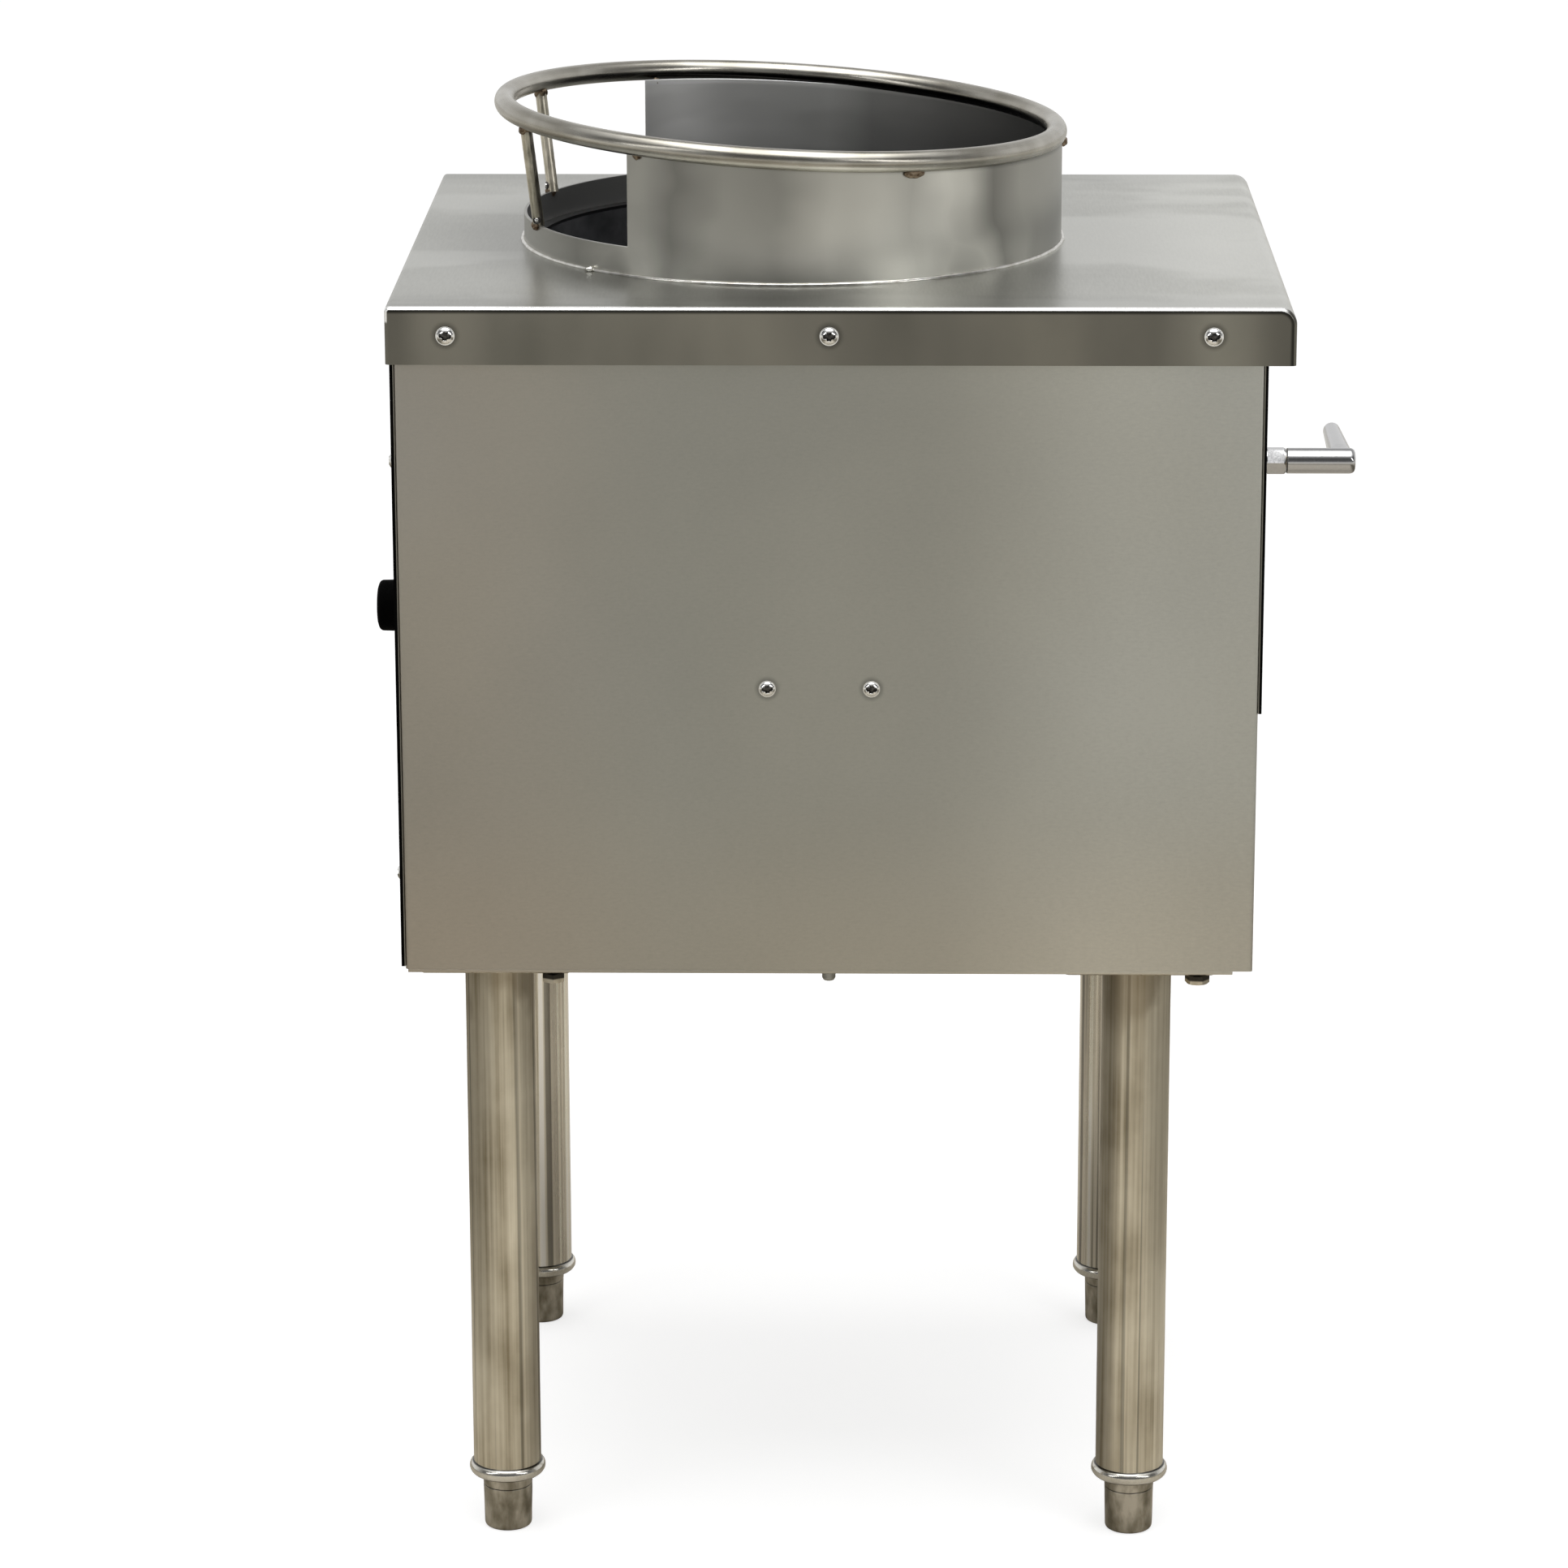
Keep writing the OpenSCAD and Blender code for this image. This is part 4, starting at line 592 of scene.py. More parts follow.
def leg_finish():
    """Drawn tube, blotchy, browned by the weld under its plate; paler and striped with painted highlights
    on the far side, darker with painted shade where the near legs face each other.
    """
    f = Finish("leg_steel", 1, 0.4)
    mottle = f.noise(30, 5, (1, 1, 0.6), shift=5)
    tone = f.blend((f.noise(75, 2, (1, 1, 0.03)), 0.45),
                   (f.noise(420, 2, (1, 1, 0.012), shift=9), 0.25), (mottle, 0.3))
    tint = f.ramp(tone, [
        (0.38, (0.34, 0.29, 0.2)), (0.47, (0.6, 0.545, 0.43)), (0.6, (0.88, 0.83, 0.7))])
    scratch = f.noise(260, 1, (1, 1, 0.004), shift=21)
    tint = f.grow(tint, f.grade(scratch, 0.33, 0.4, 0.55, 1))
    edge = f.plus(f.z, f.grade(mottle, 0.35, 0.65, -20, 20))
    tint = f.mix(f.grade(edge, LEG_TOP - 45, LEG_TOP - 8, 0, 0.6), tint, (0.26, 0.205, 0.13))
    # Painted highlights: the far legs take a paler tint with upright light stripes
    stripe = f.noise(190, 1, (1, 1, 0.003), shift=31)
    stripes = f.times(f.grade(stripe, 0.41, 0.47, 0.4, 1), f.grade(stripe, 0.51, 0.57, 1, 1.6))
    pale = f.grow(f.mix(0.55, tint, (0.8, 0.77, 0.71)), stripes)
    # Painted shade: the near legs are darker on the sides that face each other
    front_y, rear_y = middle("leg_front_left").y, middle("leg_rear_left").y
    away, reach = f.size(f.minus(f.y, (front_y + rear_y) / 2)), (rear_y - front_y) / 2
    shade = f.grade(away, reach - 16, reach - 8, f.grade(f.y, -50, 50, 0.66, 0.84), 1.06)
    right = f.grade(f.x, -50, 50)
    f.colour(f.mix(right, f.grow(tint, shade), pale))
    f.rough(f.minus(f.grade(tone, 0.35, 0.62, 0.48, 0.34), f.times(right, 0.17)))
    f.bump(f.noise(500, 2, (1, 1, 0.03)), 0.03)


FOOT_TONES = [(0.36, (0.2, 0.18, 0.135)), (0.5, (0.38, 0.35, 0.285)), (0.66, (0.66, 0.62, 0.54))]


def insert_finish():
    """A polished bead over a dull lower end like the foot's, with a painted shadow under the bead."""
    f = brushed("insert_steel", (0.6, 0.575, 0.51), (0.84, 0.82, 0.76), 0.17, spread=0.05, blotch=60)
    low = span("insert_front_left")[0].z
    dull = f.ramp(f.noise(90, 4, (1, 1, 0.5)), FOOT_TONES)
    up = f.grade(f.z, low + 5.5, low + 7)
    # Painted shadow under the bead
    under_bead = f.grade(f.z, low + 7.6, low + 9.4, 0.12, 1)
    seam = f.grade(f.z, low + 15, low + 15.6, 1, 0.12)
    f.colour(f.mix(up, dull, f.grow(f.tint, f.times(under_bead, seam))))
    f.rough(f.grade(up, 0, 1, 0.42, 0.17))


def bolt_finish():
    """Plated heads, blackened by painted shade next to the plate."""
    f = Finish("bolt_steel", 1, 0.34)
    tint = f.ramp(f.noise(120, 3), [(0.38, (0.58, 0.52, 0.4)), (0.6, (0.84, 0.78, 0.66))])
    # Painted shade: black next to the plate
    plate_shade = f.grade(f.z, LEG_PLATE - 3.4, LEG_PLATE - 2.2, 0, 0.94)
    f.colour(f.mix(plate_shade, tint, (0.015, 0.014, 0.013)))
    f.bump(f.noise(300, 2), 0.03)


def edge_finish():
    """A flat rear or front panel whose upright edges are painted black as shade."""
    f = brushed("edge_steel", (0.3, 0.29, 0.25), (0.37, 0.36, 0.32), 0.38, (0.02, 1, 1))
    # Painted shade: the upright edges beyond the side panels are black
    side = f.grade(f.size(f.x), SIDE_X - 1, SIDE_X - 0.6)
    away = f.size(f.minus(f.y, (PANEL_LOW.y + PANEL_HIGH.y) / 2))
    beyond = (PANEL_HIGH.y - PANEL_LOW.y) / 2
    side = f.times(side, f.grade(away, beyond + 0.3, beyond + 0.6))
    f.colour(f.mix(side, f.tint, (0.004, 0.004, 0.004)))


top_finish()
panel_finish()
collar_finish()
ring_finish()
strut_finish()
leg_finish()
insert_finish()
scaly("foot_steel", 0.42, 90, 4, FOOT_TONES, 0.25, (1, 1, 0.5))
scaly("weld_steel", 0.22, 160, 2, [(0.3, (0.6, 0.58, 0.53)), (0.6, (0.8, 0.79, 0.75))], 0.06)
brushed("plain_steel", (0.34, 0.34, 0.32), (0.44, 0.44, 0.41), 0.4, (0.02, 1, 1))
brushed("handle_chrome", (0.5, 0.5, 0.505), (0.59, 0.59, 0.595), 0.12, spread=0.03, depth=0.004)
brushed("screw_steel", (0.84, 0.84, 0.82), (0.98, 0.98, 0.96), 0.13, spread=0.04, depth=0.01)
brushed("tray_steel", (0.4, 0.39, 0.36), (0.5, 0.49, 0.46), 0.34, (0.02, 1, 1))
grained("liner_steel", (0.055, 0.057, 0.061), (0.1, 0.102, 0.108), 0.6, 0.5, 60, 0.05)
grained("burner_iron", (0.02, 0.02, 0.021), (0.06, 0.058, 0.055), 0.4, 0.62, 420, 0.25)
grained("jet_brass", (0.38, 0.25, 0.08), (0.62, 0.44, 0.18), 1, 0.34, 300, 0.03)
grained("pipe_steel", (0.05, 0.05, 0.052), (0.11, 0.108, 0.105), 0.8, 0.48, 240, 0.05)
grained("fitting_iron", (0.035, 0.035, 0.036), (0.08, 0.078, 0.075), 0.7, 0.55, 380, 0.15)
grained("valve_brass", (0.4, 0.28, 0.1), (0.6, 0.45, 0.2), 1, 0.36, 260, 0.06)
grained("tube_brass", (0.45, 0.24, 0.13), (0.65, 0.38, 0.22), 1, 0.32, 120, 0.02)
grained("black_plastic", (0.0006,) * 3, (0.0016,) * 3, 0, 0.7, 500, 0.03, specular=0.03)
edge_finish()
bolt_finish()
scaly("tack_steel", 0.5, 500, 4, [(0.35, (0.1, 0.06, 0.035)), (0.7, (0.36, 0.29, 0.21))], 0.3)
# Dark steel: painted shade in the screws' cross recesses; the rivets' washers take it too
grained("recess_steel", (0.05, 0.048, 0.045), (0.16, 0.155, 0.145), 1, 0.4, 700, 0.05)


def dress_nodes():
    """Gives every node that stays its slot's finish, or the flat panels' own."""
    for entry in frame["record"]["subparts"]:
        flat = entry["node"] in ("rear_panel", "control_panel")
        finish = FINISHES["edge_steel" if flat else entry["material_slot"]]
        for place in frame["nodes"][entry["node"]].material_slots:
            place.material = finish.material


# Top sheet

HOLE_R = 158
BEND_STEPS, LIP_STEPS = 8, 16
ACROSS, ALONG = 90, 100


def quarter(steps):
    return [pi / 2 * k / steps for k in range(steps + 1)]


def top_skin(inset):
    """One skin of the folded top as rows across the width, each a row of points along the depth."""
    half, top, rear, front = TOP_HIGH.x - inset, TOP_Z - inset, REAR_Y - inset, TOP_LOW.y + inset
    side_r, rear_r, lip_r = 2.8 - inset, 3 - inset, LIP_BEND - inset
    bend = [(half - side_r + side_r * sin(t), side_r * (1 - cos(t))) for t in quarter(BEND_STEPS)]
    stations = [(-x, drawn) for x, drawn in reversed(bend)]
    stations += [((half - side_r) * (2 * k / ACROSS - 1), 0) for k in range(1, ACROSS)]
    flat = rear - rear_r - front - lip_r
    rows = []
    for x, drawn in stations + bend:
        row = [(rear - drawn, TOP_LOW.z)]
        y, z, r = rear - rear_r, top - rear_r, rear_r - drawn
        row += [(y + r * cos(t), z + r * sin(t)) for t in quarter(BEND_STEPS)]
        row += [(y - flat * k / ALONG, top - drawn) for k in range(1, ALONG)]
        y, z, r = front + lip_r, top - lip_r, lip_r - drawn
        row += [(y - r * sin(t), z + r * cos(t)) for t in quarter(LIP_STEPS)]
        row.append((front + drawn, TOP_LOW.z))
        rows.append([Vector((x, y, z)) for y, z in row])
    return rows


def make_top():
    """The top: a plate with a hole, a skirt on four sides, and a wide bend along the front lip."""
    shape, skins = Shape(), []
    # First and last row and column of the flat plate, and the loop of its border
    r0, r1 = BEND_STEPS, BEND_STEPS + ACROSS
    c0, c1 = BEND_STEPS + 1, BEND_STEPS + 1 + ALONG
    loop = [(r0, c) for c in range(c0, c1)] + [(r, c1) for r in range(r0, r1)]
    loop += [(r1, c) for c in range(c1, c0, -1)] + [(r, c0) for r in range(r1, r0, -1)]
    count = len(loop)
    for inset in (0, 2):
        rows = top_skin(inset)
        width, last = len(rows[0]), len(rows) - 1
        cells = (r * width + c for r in range(last) for c in range(width - 1)
                 if not (r0 <= r < r1 and c0 <= c < c1))
        faces = [[a, a + width, a + width + 1, a + 1] for a in cells]
        faces += [[r * width + c for c in range(width)] for r in (0, last)]
        start = len(shape.points)
        shape.join(Shape((p for row in rows for p in row), faces))
        ring = len(shape.points)
        for k, (r, c) in enumerate(loop):
            centre = Vector((COLLAR.x, COLLAR.y, rows[r][c].z))
            shape.points.append(centre + (rows[r][c] - centre).normalized() * HOLE_R)
            n = (k + 1) % count
            a, b = (start + row * width + column for row, column in (loop[k], loop[n]))
            shape.faces.append([a, b, ring + n, ring + k])
        skins.append((start, ring))
    (outer, outer_ring), (inner, inner_ring) = skins
    shape.faces += [[outer_ring + k, outer_ring + n, inner_ring + n, inner_ring + k]
                    for k, n in ((k, (k + 1) % count) for k in range(count))]
    rims = [(r * width + c, (r + 1) * width + c) for c in (0, width - 1) for r in range(last)]
    rims += [(r * width, r * width + width - 1) for r in (0, last)]
    shape.faces += [[outer + a, outer + b, inner + b, inner + a] for a, b in rims]
    make("top_folded", shape, "top_steel", ["top_sheet"])


# Collar, pot ring and struts

def collar_shape():
    """One rolled wall with a low rim behind the vent's two upright edges."""
    wave = ripple(4, 2.6, 0.22)
    radii = (COLLAR_R, COLLAR_R - COLLAR_WALL)
    edges = [asin((VENT_Y - COLLAR.y) / radius) for radius in radii]
    front_steps, rear_steps, levels = 216, 80, 6
    columns = [([pi - e + k / front_steps * (pi + 2 * e) for e in edges], True)
               for k in range(front_steps + 1)]
    columns += [([e + k / rear_steps * (pi - 2 * e) for e in edges], False) for k in range(1, rear_steps)]
    shape, index = Shape(), []
    for sides, tall in columns:
        bend = wave(sides[0]) if tall else 0
        index.append([])
        for radius, angle in zip(radii, sides):
            x, y = (radius + bend) * cos(angle), COLLAR.y + (radius + bend) * sin(angle)
            heights = [TOP_Z, TOP_Z + LOW_RIM]
            if tall:
                wall = collar_top(y) - heights[1]
                heights += [heights[1] + wall * s / levels for s in range(1, levels + 1)]
            index[-1].append(range(len(shape.points), len(shape.points) + len(heights)))
            shape.points += [Vector((x, y, z)) for z in heights]
    for k, (o1, i1) in enumerate(index):
        o2, i2 = index[(k + 1) % len(index)]
        top = min(len(o1), len(o2)) - 1
        for s in range(top):
            shape.faces += [[o1[s], o2[s], o2[s + 1], o1[s + 1]], [i1[s], i1[s + 1], i2[s + 1], i2[s]]]
        shape.faces += [[o1[top], o2[top], i2[top], i1[top]], [o1[0], i1[0], i2[0], o2[0]]]
    for outer, inner in (index[0], index[front_steps]):
        shape.faces += [[outer[s], outer[s + 1], inner[s + 1], inner[s]] for s in range(1, levels + 1)]
    return shape


def weld_bead(path, radius, seed, pitch):
    """A bead of weld metal with its ripples along a closed path."""
    def swell(share, angle):
        step = abs(sin(share * pitch * pi)) * 0.04
        rough = noise.noise(Vector((share * pitch * 0.7, cos(angle), seed))) * 0.06
        return radius * (step + rough - 0.05)
    return sweep(path, radius, 14, True, swell)


def lump(point, size, toward=(0, 0, 1), seed=0, flat=0.6):
    """A small irregular lump of weld metal."""
    arc = [(sin(t) * size, -cos(t) * flat * size) for t in (pi * k / 10 for k in range(11))]
    shape = lathe([(0, arc[0][1])] + arc[1:-1] + [(0, arc[-1][1])], 18)
    offset = Vector((seed, seed, 0))
    shape.points = [p * (1 + 0.28 * noise.noise(p / size * 1.6 + offset)) for p in shape.points]
    return shape.moved(put(point, toward))


def make_collar():
    make("collar_shell", collar_shape(), "collar_steel", ["collar"], bevel=0.35, smooth=35)
    path = []
    for angle in angles(720):
        far = COLLAR_R + 0.7 + 0.25 * noise.noise(polar(20, angle, 1))
        path.append(Vector((0, COLLAR.y, 0)) + polar(far, angle, TOP_Z + 0.5))
    bead = weld_bead(path, 1.5, 3, 150)
    bead.join(lump((COLLAR.x - 118, COLLAR.y + 121, TOP_Z + 1.2), 3.2, seed=2))
    make("collar_bead", bead, "weld_steel", ["collar_weld"], smooth=80)


def make_ring():
    tube = sweep([ring_point(angle) for angle in angles(360)], RING_TUBE, 36, True)
    make("pot_ring_tube", tube, "ring_steel", ["pot_ring"], smooth=60)
    tacks, size = Shape(), 2.6
    for k, (degrees, half) in enumerate(((147.3, 3), (206.6, 6.6), (270, 5), (334, 5.6), (32.5, 3))):
        angle = radians(degrees)
        spot = Vector((COLLAR.x, COLLAR.y, 0)) + polar(COLLAR_R + 0.8, angle)
        spot.z = collar_top(spot.y) - 2.4
        tack = lump((0, 0, 0), size, seed=k * 1.7, flat=0.9)
        tack.points = [Vector((p.x * half / size, p.y, p.z * 1.35)) for p in tack.points]
        tacks.join(tack, put(spot, turn=angle + pi / 2))
    make("ring_tacks", tacks, "weld_steel", finish="tack_steel", smooth=80)


def make_struts():
    """Two rods from the low rim's edge up to the ring, with welds at both ends and a rivet at the foot."""
    rods, welds, rivets = Shape(), Shape(), Shape()
    for side, foot_degrees, head_degrees, toward in (
            (-1, 20.8, 25.4, Vector((-1, 0.15, 0.1))), (1, 22.5, 25.7, Vector((-0.35, 1, 0.1)))):
        foot = polar(COLLAR_R - 1.6, pi / 2 - side * radians(foot_degrees), TOP_Z + LOW_RIM - 0.8)
        out = Vector((foot.x, foot.y, 0)).normalized()
        foot.y += COLLAR.y
        head = ring_point(pi / 2 - side * radians(head_degrees))
        lean = (head - foot).normalized()
        end = head - lean * (RING_TUBE - 0.6)
        path = [foot + (end - foot) * (k / 24) for k in range(25)]
        rods.join(sweep(path, 3.6, 20, False, lambda s, a: 0.12 * noise.noise(Vector((s * 30, a, 1)))))
        welds.join(lump(end - lean, 4.6, lean, seed=side * 3, flat=0.8))
        welds.join(lump(foot + out * 1.5 + Vector((0, 0, 0.4)), 3.6, out, seed=side * 5, flat=0.9))
        place = put(foot + lean * 4 + toward.normalized() * 3.1, toward)
        washer = lathe(rounded([(0, 0), (2.5, 0), (2.5, 1, 0.4), (0, 1)], 3), 28)
        washer.marked = set(range(len(washer.faces)))
        rivets.join(washer, place)
        rivets.join(lathe(rounded([(0, 0.8), (1.3, 0.8), (1.2, 1.8, 0.5), (0, 2)], 4), 24), place)
    make("strut_rods", rods, "strut_steel", ["ring_struts"], smooth=60)
    make("strut_welds", welds, "weld_steel", finish="tack_steel", smooth=80)
    make("strut_rivets", rivets, "screw_steel", second="recess_steel")


# Screws and bolts

def pan_head(radius, height):
    """A domed head with a cross recess, made of rings of points pushed down where the recess is."""
    rings, sides = 22, 48
    crown, arm, half = radius * 0.55, radius * 0.66, radius * 0.19
    dome = (radius * radius + crown * crown) / (2 * crown)
    shape = lathe([(radius * r / rings, height) for r in range(rings + 1)] + [(radius, 0)], sides)
    sunk = []
    for p in shape.points:
        far, x, y = p.xy.length, abs(p.x), abs(p.y)
        inside = min((arm - max(x, 1.45 * y)) / (radius * 0.12),
                     (half * (1.25 - far / radius) * 1.5 - min(x, y)) / (radius * 0.05), 1)
        sunk.append(max(inside, 0))
        if p.z:      # the last ring stays at the head's foot
            p.z = max(height - dome + sqrt(dome * dome - far * far), 0.25 * height)
            p.z -= height * 0.7 * sunk[-1]
    # The recess faces take the dark second finish, painted shade
    shape.marked = {k for k, face in enumerate(shape.faces)
                    if sum(sunk[i] for i in face) > 0.45 * len(face)}
    shape.faces.append(list(range(len(shape.points) - sides, len(shape.points))))
    return shape


def screw(radius, height, turn):
    """A pan head on a threaded shank."""
    shank, length, crests = 2.5, 10, 20
    thread = [(0, -length), (shank * 0.6, 0.5 - length)]
    thread += [(shank * (0.92 if k % 2 else 1), (length - 0.5) * (k / crests - 1))
               for k in range(1, crests)]
    head = pan_head(radius, height).moved(put((0, 0, 0), turn=turn))
    return head.join(lathe(thread + [(shank, 0.2), (0, 0.2)], 24))


def make_screws():
    """Pan heads on the skirts, the side panels and the rear panel, and two turned heads under the base."""
    reach, rear, base = 5.1, Shape(), Shape()
    for name, spots, radius, height, turn, step in (
            ("skirt_screws", SKIRT_SCREWS, 5.6, 3, 1.45, 0.12),
            ("rail_screws", RAIL_SCREWS, reach, 2.6, 1.5, 0.2)):
        shape = Shape()
        for side in (-1, 1):
            for k, (x, y, z) in enumerate(spots):
                shape.join(screw(radius, height, turn + step * k), put((side * x, y, z), (side, 0, 0)))
        make_crossed(name, shape)

    low, high = span("rear_screws")
    for x in (low.x + reach, high.x - reach):
        for k, z in enumerate((low.z + reach, high.z - reach)):
            rear.join(screw(reach, 2.6, 0.3 + k), put((x, high.y - 2.6, z), (0, 1, 0)))
    make_crossed("rear_screws", rear)

    low, high = span("base_screws")
    above = high.z - PANEL_LOW.z
    head = rounded([(0, 8.6), (3.2, 8.6, 1), (4.1, 6.9, 1), (4.1, 1, 0.6), (reach, 1, 0.4),
                    (reach, 0), (0, 0)], 4)
    for x in (low.x + reach, high.x - reach):
        spot = (x, (low.y + high.y) / 2, PANEL_LOW.z)
        base.join(lathe(head, 48), put(spot, (0, 0, -1)))
        base.join(lathe([(0, 0), (2.5, 0), (2.5, above - 1), (0, above)], 24), put(spot))
    make_crossed("base_screws", base, "plain_steel")


def make_crossed(name, shape, finish=None):
    make(name + "_cross", shape, "screw_steel", [name], finish=finish, second="recess_steel", smooth=50)


def hex_head(width, height, pad=0.5):
    """A six-sided head whose upper corners are turned away."""
    corner, twelfth, sides = width / 2, pi / 6, 48
    flat = corner * cos(twelfth)

    def ring(z, limit):
        return [polar(min(flat / cos((a + twelfth) % (2 * twelfth) - twelfth), limit), a, z)
                for a in angles(sides)]
    return loft([ring(0, corner), ring(height - pad, corner), ring(height, corner - (corner - flat) * 0.9)])


def make_bolts():
    """Two bolts and nuts on a diagonal of each leg's plate."""
    bolts, nuts = Shape(), Shape()
    low, high = span("leg_bolts")
    nut_low, nut_high = span("leg_nuts")
    width, reach, pitch = 15, 35, 0.6
    axes = [middle("leg_" + place) for place in ("rear_left", "rear_right", "front_left", "front_right")]
    spots = [(axis.x + end * copysign(reach, axis.x), axis.y - end * reach)
             for axis in axes for end in (-1, 1)]
    crests = int((high.z - LEG_PLATE) / pitch) - 1
    thread = [(4 if j % 2 else 3.7, LEG_PLATE + 0.5 + j * pitch) for j in range(crests)]
    stud = lathe([(0, LEG_PLATE)] + thread + [(3.4, high.z), (0, high.z)], 24)
    for k, (x, y) in enumerate(spots):
        bolts.join(hex_head(width, LEG_PLATE - low.z), put((x, y, LEG_PLATE), (0, 0, -1), 0.3 + 0.7 * k))
        bolts.join(stud, put((x, y, 0)))
        nuts.join(hex_head(width, nut_high.z - nut_low.z), put((x, y, nut_low.z), turn=0.2 + 0.5 * k))
    make("leg_bolts_hex", bolts, "screw_steel", ["leg_bolts"], finish="bolt_steel", smooth=25)
    make("leg_nuts_hex", nuts, "screw_steel", ["leg_nuts"], smooth=25)


# Legs, inserts and feet

def make_legs():
    for place in ("rear_left", "front_left", "rear_right", "front_right"):
        low, high = span("leg_" + place)
        axis = (low + high) / 2
        tube = rounded([(19.6, LEG_PLATE), (19.6, low.z, 0.4), (21.1, low.z, 0.6), (21.1, LEG_PLATE)], 3)
        wave = ripple(axis.x * 0.01 + axis.y * 0.02, 3, 0.12)
        shape = lathe(split_long(tube, 50, 12), 96, True, wave)
        half, r = 45, 3
        near, far = sorted((copysign(half - 7, axis.x), -copysign(half, axis.x)))
        square = rounded([(near, -half, r), (far, -half, r), (far, half, r), (near, half, r)], 4)
        shape.join(prism(square, LEG_PLATE, high.z))
        bead = [polar(22.6, angle, LEG_PLATE - 1.4) for angle in angles(180)]
        shape.join(weld_bead(bead, 2.3, axis.x, 44))
        on_axis = put((axis.x, axis.y, 0))
        make("leg_tube_" + place, shape.moved(on_axis), "leg_steel", ["leg_" + place], smooth=50)
        make_insert(place, axis, on_axis)
        make_foot(place, axis, on_axis)


def make_insert(place, axis, on_axis):
    low, high = span("insert_" + place)
    bead_r, half, seam = (high.x - low.x) / 2, 4.6, 41.6
    mid = 44.4 - half
    arc = [(bead_r - half + half * cos(t), mid + half * sin(t))
           for t in (radians(-96 + 206 * k / 16) for k in range(17))]
    profile = [(8.05, low.z), (15, low.z), (15.3, low.z + 0.4), (15.5, low.z + 6.6)] + arc
    profile += [(21.15, seam), (19.5, seam), (19.5, high.z - 1), (18.8, high.z), (8.05, high.z)]
    shape = lathe(profile, 96, True, ripple(axis.y * 0.03, 6, 0.08))
    make("insert_turned_" + place, shape.moved(on_axis), "insert_steel", ["insert_" + place])


def make_foot(place, axis, on_axis):
    high = span("foot_" + place)[1]
    body_top = 27.7
    outer = rounded([(0, 0), (14.7, 0, 2.4), (15.3, body_top, 0.5), (7.6, body_top)], 6)
    wave = ripple(axis.x * 0.05 + axis.y * 0.01, 2.4, 0.28)
    shape = lathe(split_long(outer, 12, 10) + [(0, body_top)], 72, False,
                  lambda a, z: wave(a, z) * min(z, body_top - z, 4) / 4)
    pitch, depth, sides, rows_per_turn = 2, 0.6, 40, 6
    levels = int((high.z - body_top - 1) / (pitch / rows_per_turn))
    rows = []
    for z in (body_top + k * pitch / rows_per_turn for k in range(levels)):
        rows.append([polar(8 - depth * abs(((z / pitch - a / TURN) % 1) * 2 - 1), a, z)
                     for a in angles(sides)])
    rows.append([polar(6.8, a, high.z) for a in angles(sides)])
    shape.join(loft(rows))
    make("foot_turned_" + place, shape.moved(on_axis), "foot_steel", ["foot_" + place],
         body="foot_" + place, smooth=50)


# Valve handle, bonnet and inlet cap

def make_handle():
    low, high = span("valve_handle")
    length, arm = high.y - low.y, high.x - VALVE.x
    barrel = rounded([(0, 0), (7.2, 0, 0.3), (8.1, 0.9, 0.5), (8.1, length, 4.6), (0, length)], 12)
    shape = lathe(barrel, 96).moved(put((VALVE.x, high.y, VALVE.z), (0, -1, 0)))
    rod = rounded([
        (0, -2), (7.5, -2), (7.5, 16, 6), (5.5, arm - 2.2, 1.2), (3.6, arm, 1), (0, arm)])
    shape.join(lathe(rod, 72), put((VALVE.x, low.y + 8.1, VALVE.z), (1, 0, 0)))
    make("handle_chrome", shape, "handle_chrome", ["valve_handle"], body="valve_handle", smooth=28)


def make_bonnet():
    low, high = span("valve_bonnet")
    length = high.y - low.y
    hex_from = length - 11.5
    neck = rounded([(4.55, 0), (15, 0, 0.6), (15, 4, 0.6), (8, 4, 1.5), (8, hex_from), (4.55, hex_from)], 4)
    body = lathe(neck, 64, True).moved(put((VALVE.x, high.y, VALVE.z), (0, -1, 0)))
    body.join(hex_head(18, length - hex_from, 1.2),
              put((VALVE.x, high.y - hex_from, VALVE.z), (0, -1, 0), pi / 2 - 0.045))
    make("bonnet_turned", body, "handle_chrome", ["valve_bonnet"], smooth=25)
    low, high = span("panel_locknut")
    nut = hex_head(26, high.y - low.y, 1).moved(put((VALVE.x, high.y, VALVE.z), (0, -1, 0), 0.2))
    make("locknut_hex", nut, "handle_chrome", ["panel_locknut"], smooth=25)


def make_cap():
    low, high = span("inlet_cap")
    axis = (low + high) / 2
    length, radius = high.y - low.y, (high.x - low.x) / 2
    profile = rounded([
        (13.4, length - 2.5), (13.4, 0, 0.3), (radius - 0.6, 0, 0.5), (radius, 1.2, 0.5),
        (radius - 0.4, length - 2, 3.4), (radius - 5, length - 0.5, 8), (0, length)], 6)
    shape = lathe([(0, length - 2.5)] + profile, 96).moved(put((axis.x, low.y, axis.z), (0, 1, 0)))
    make("cap_moulded", shape, "black_plastic", ["inlet_cap"], body="inlet_cap")


# Side panels

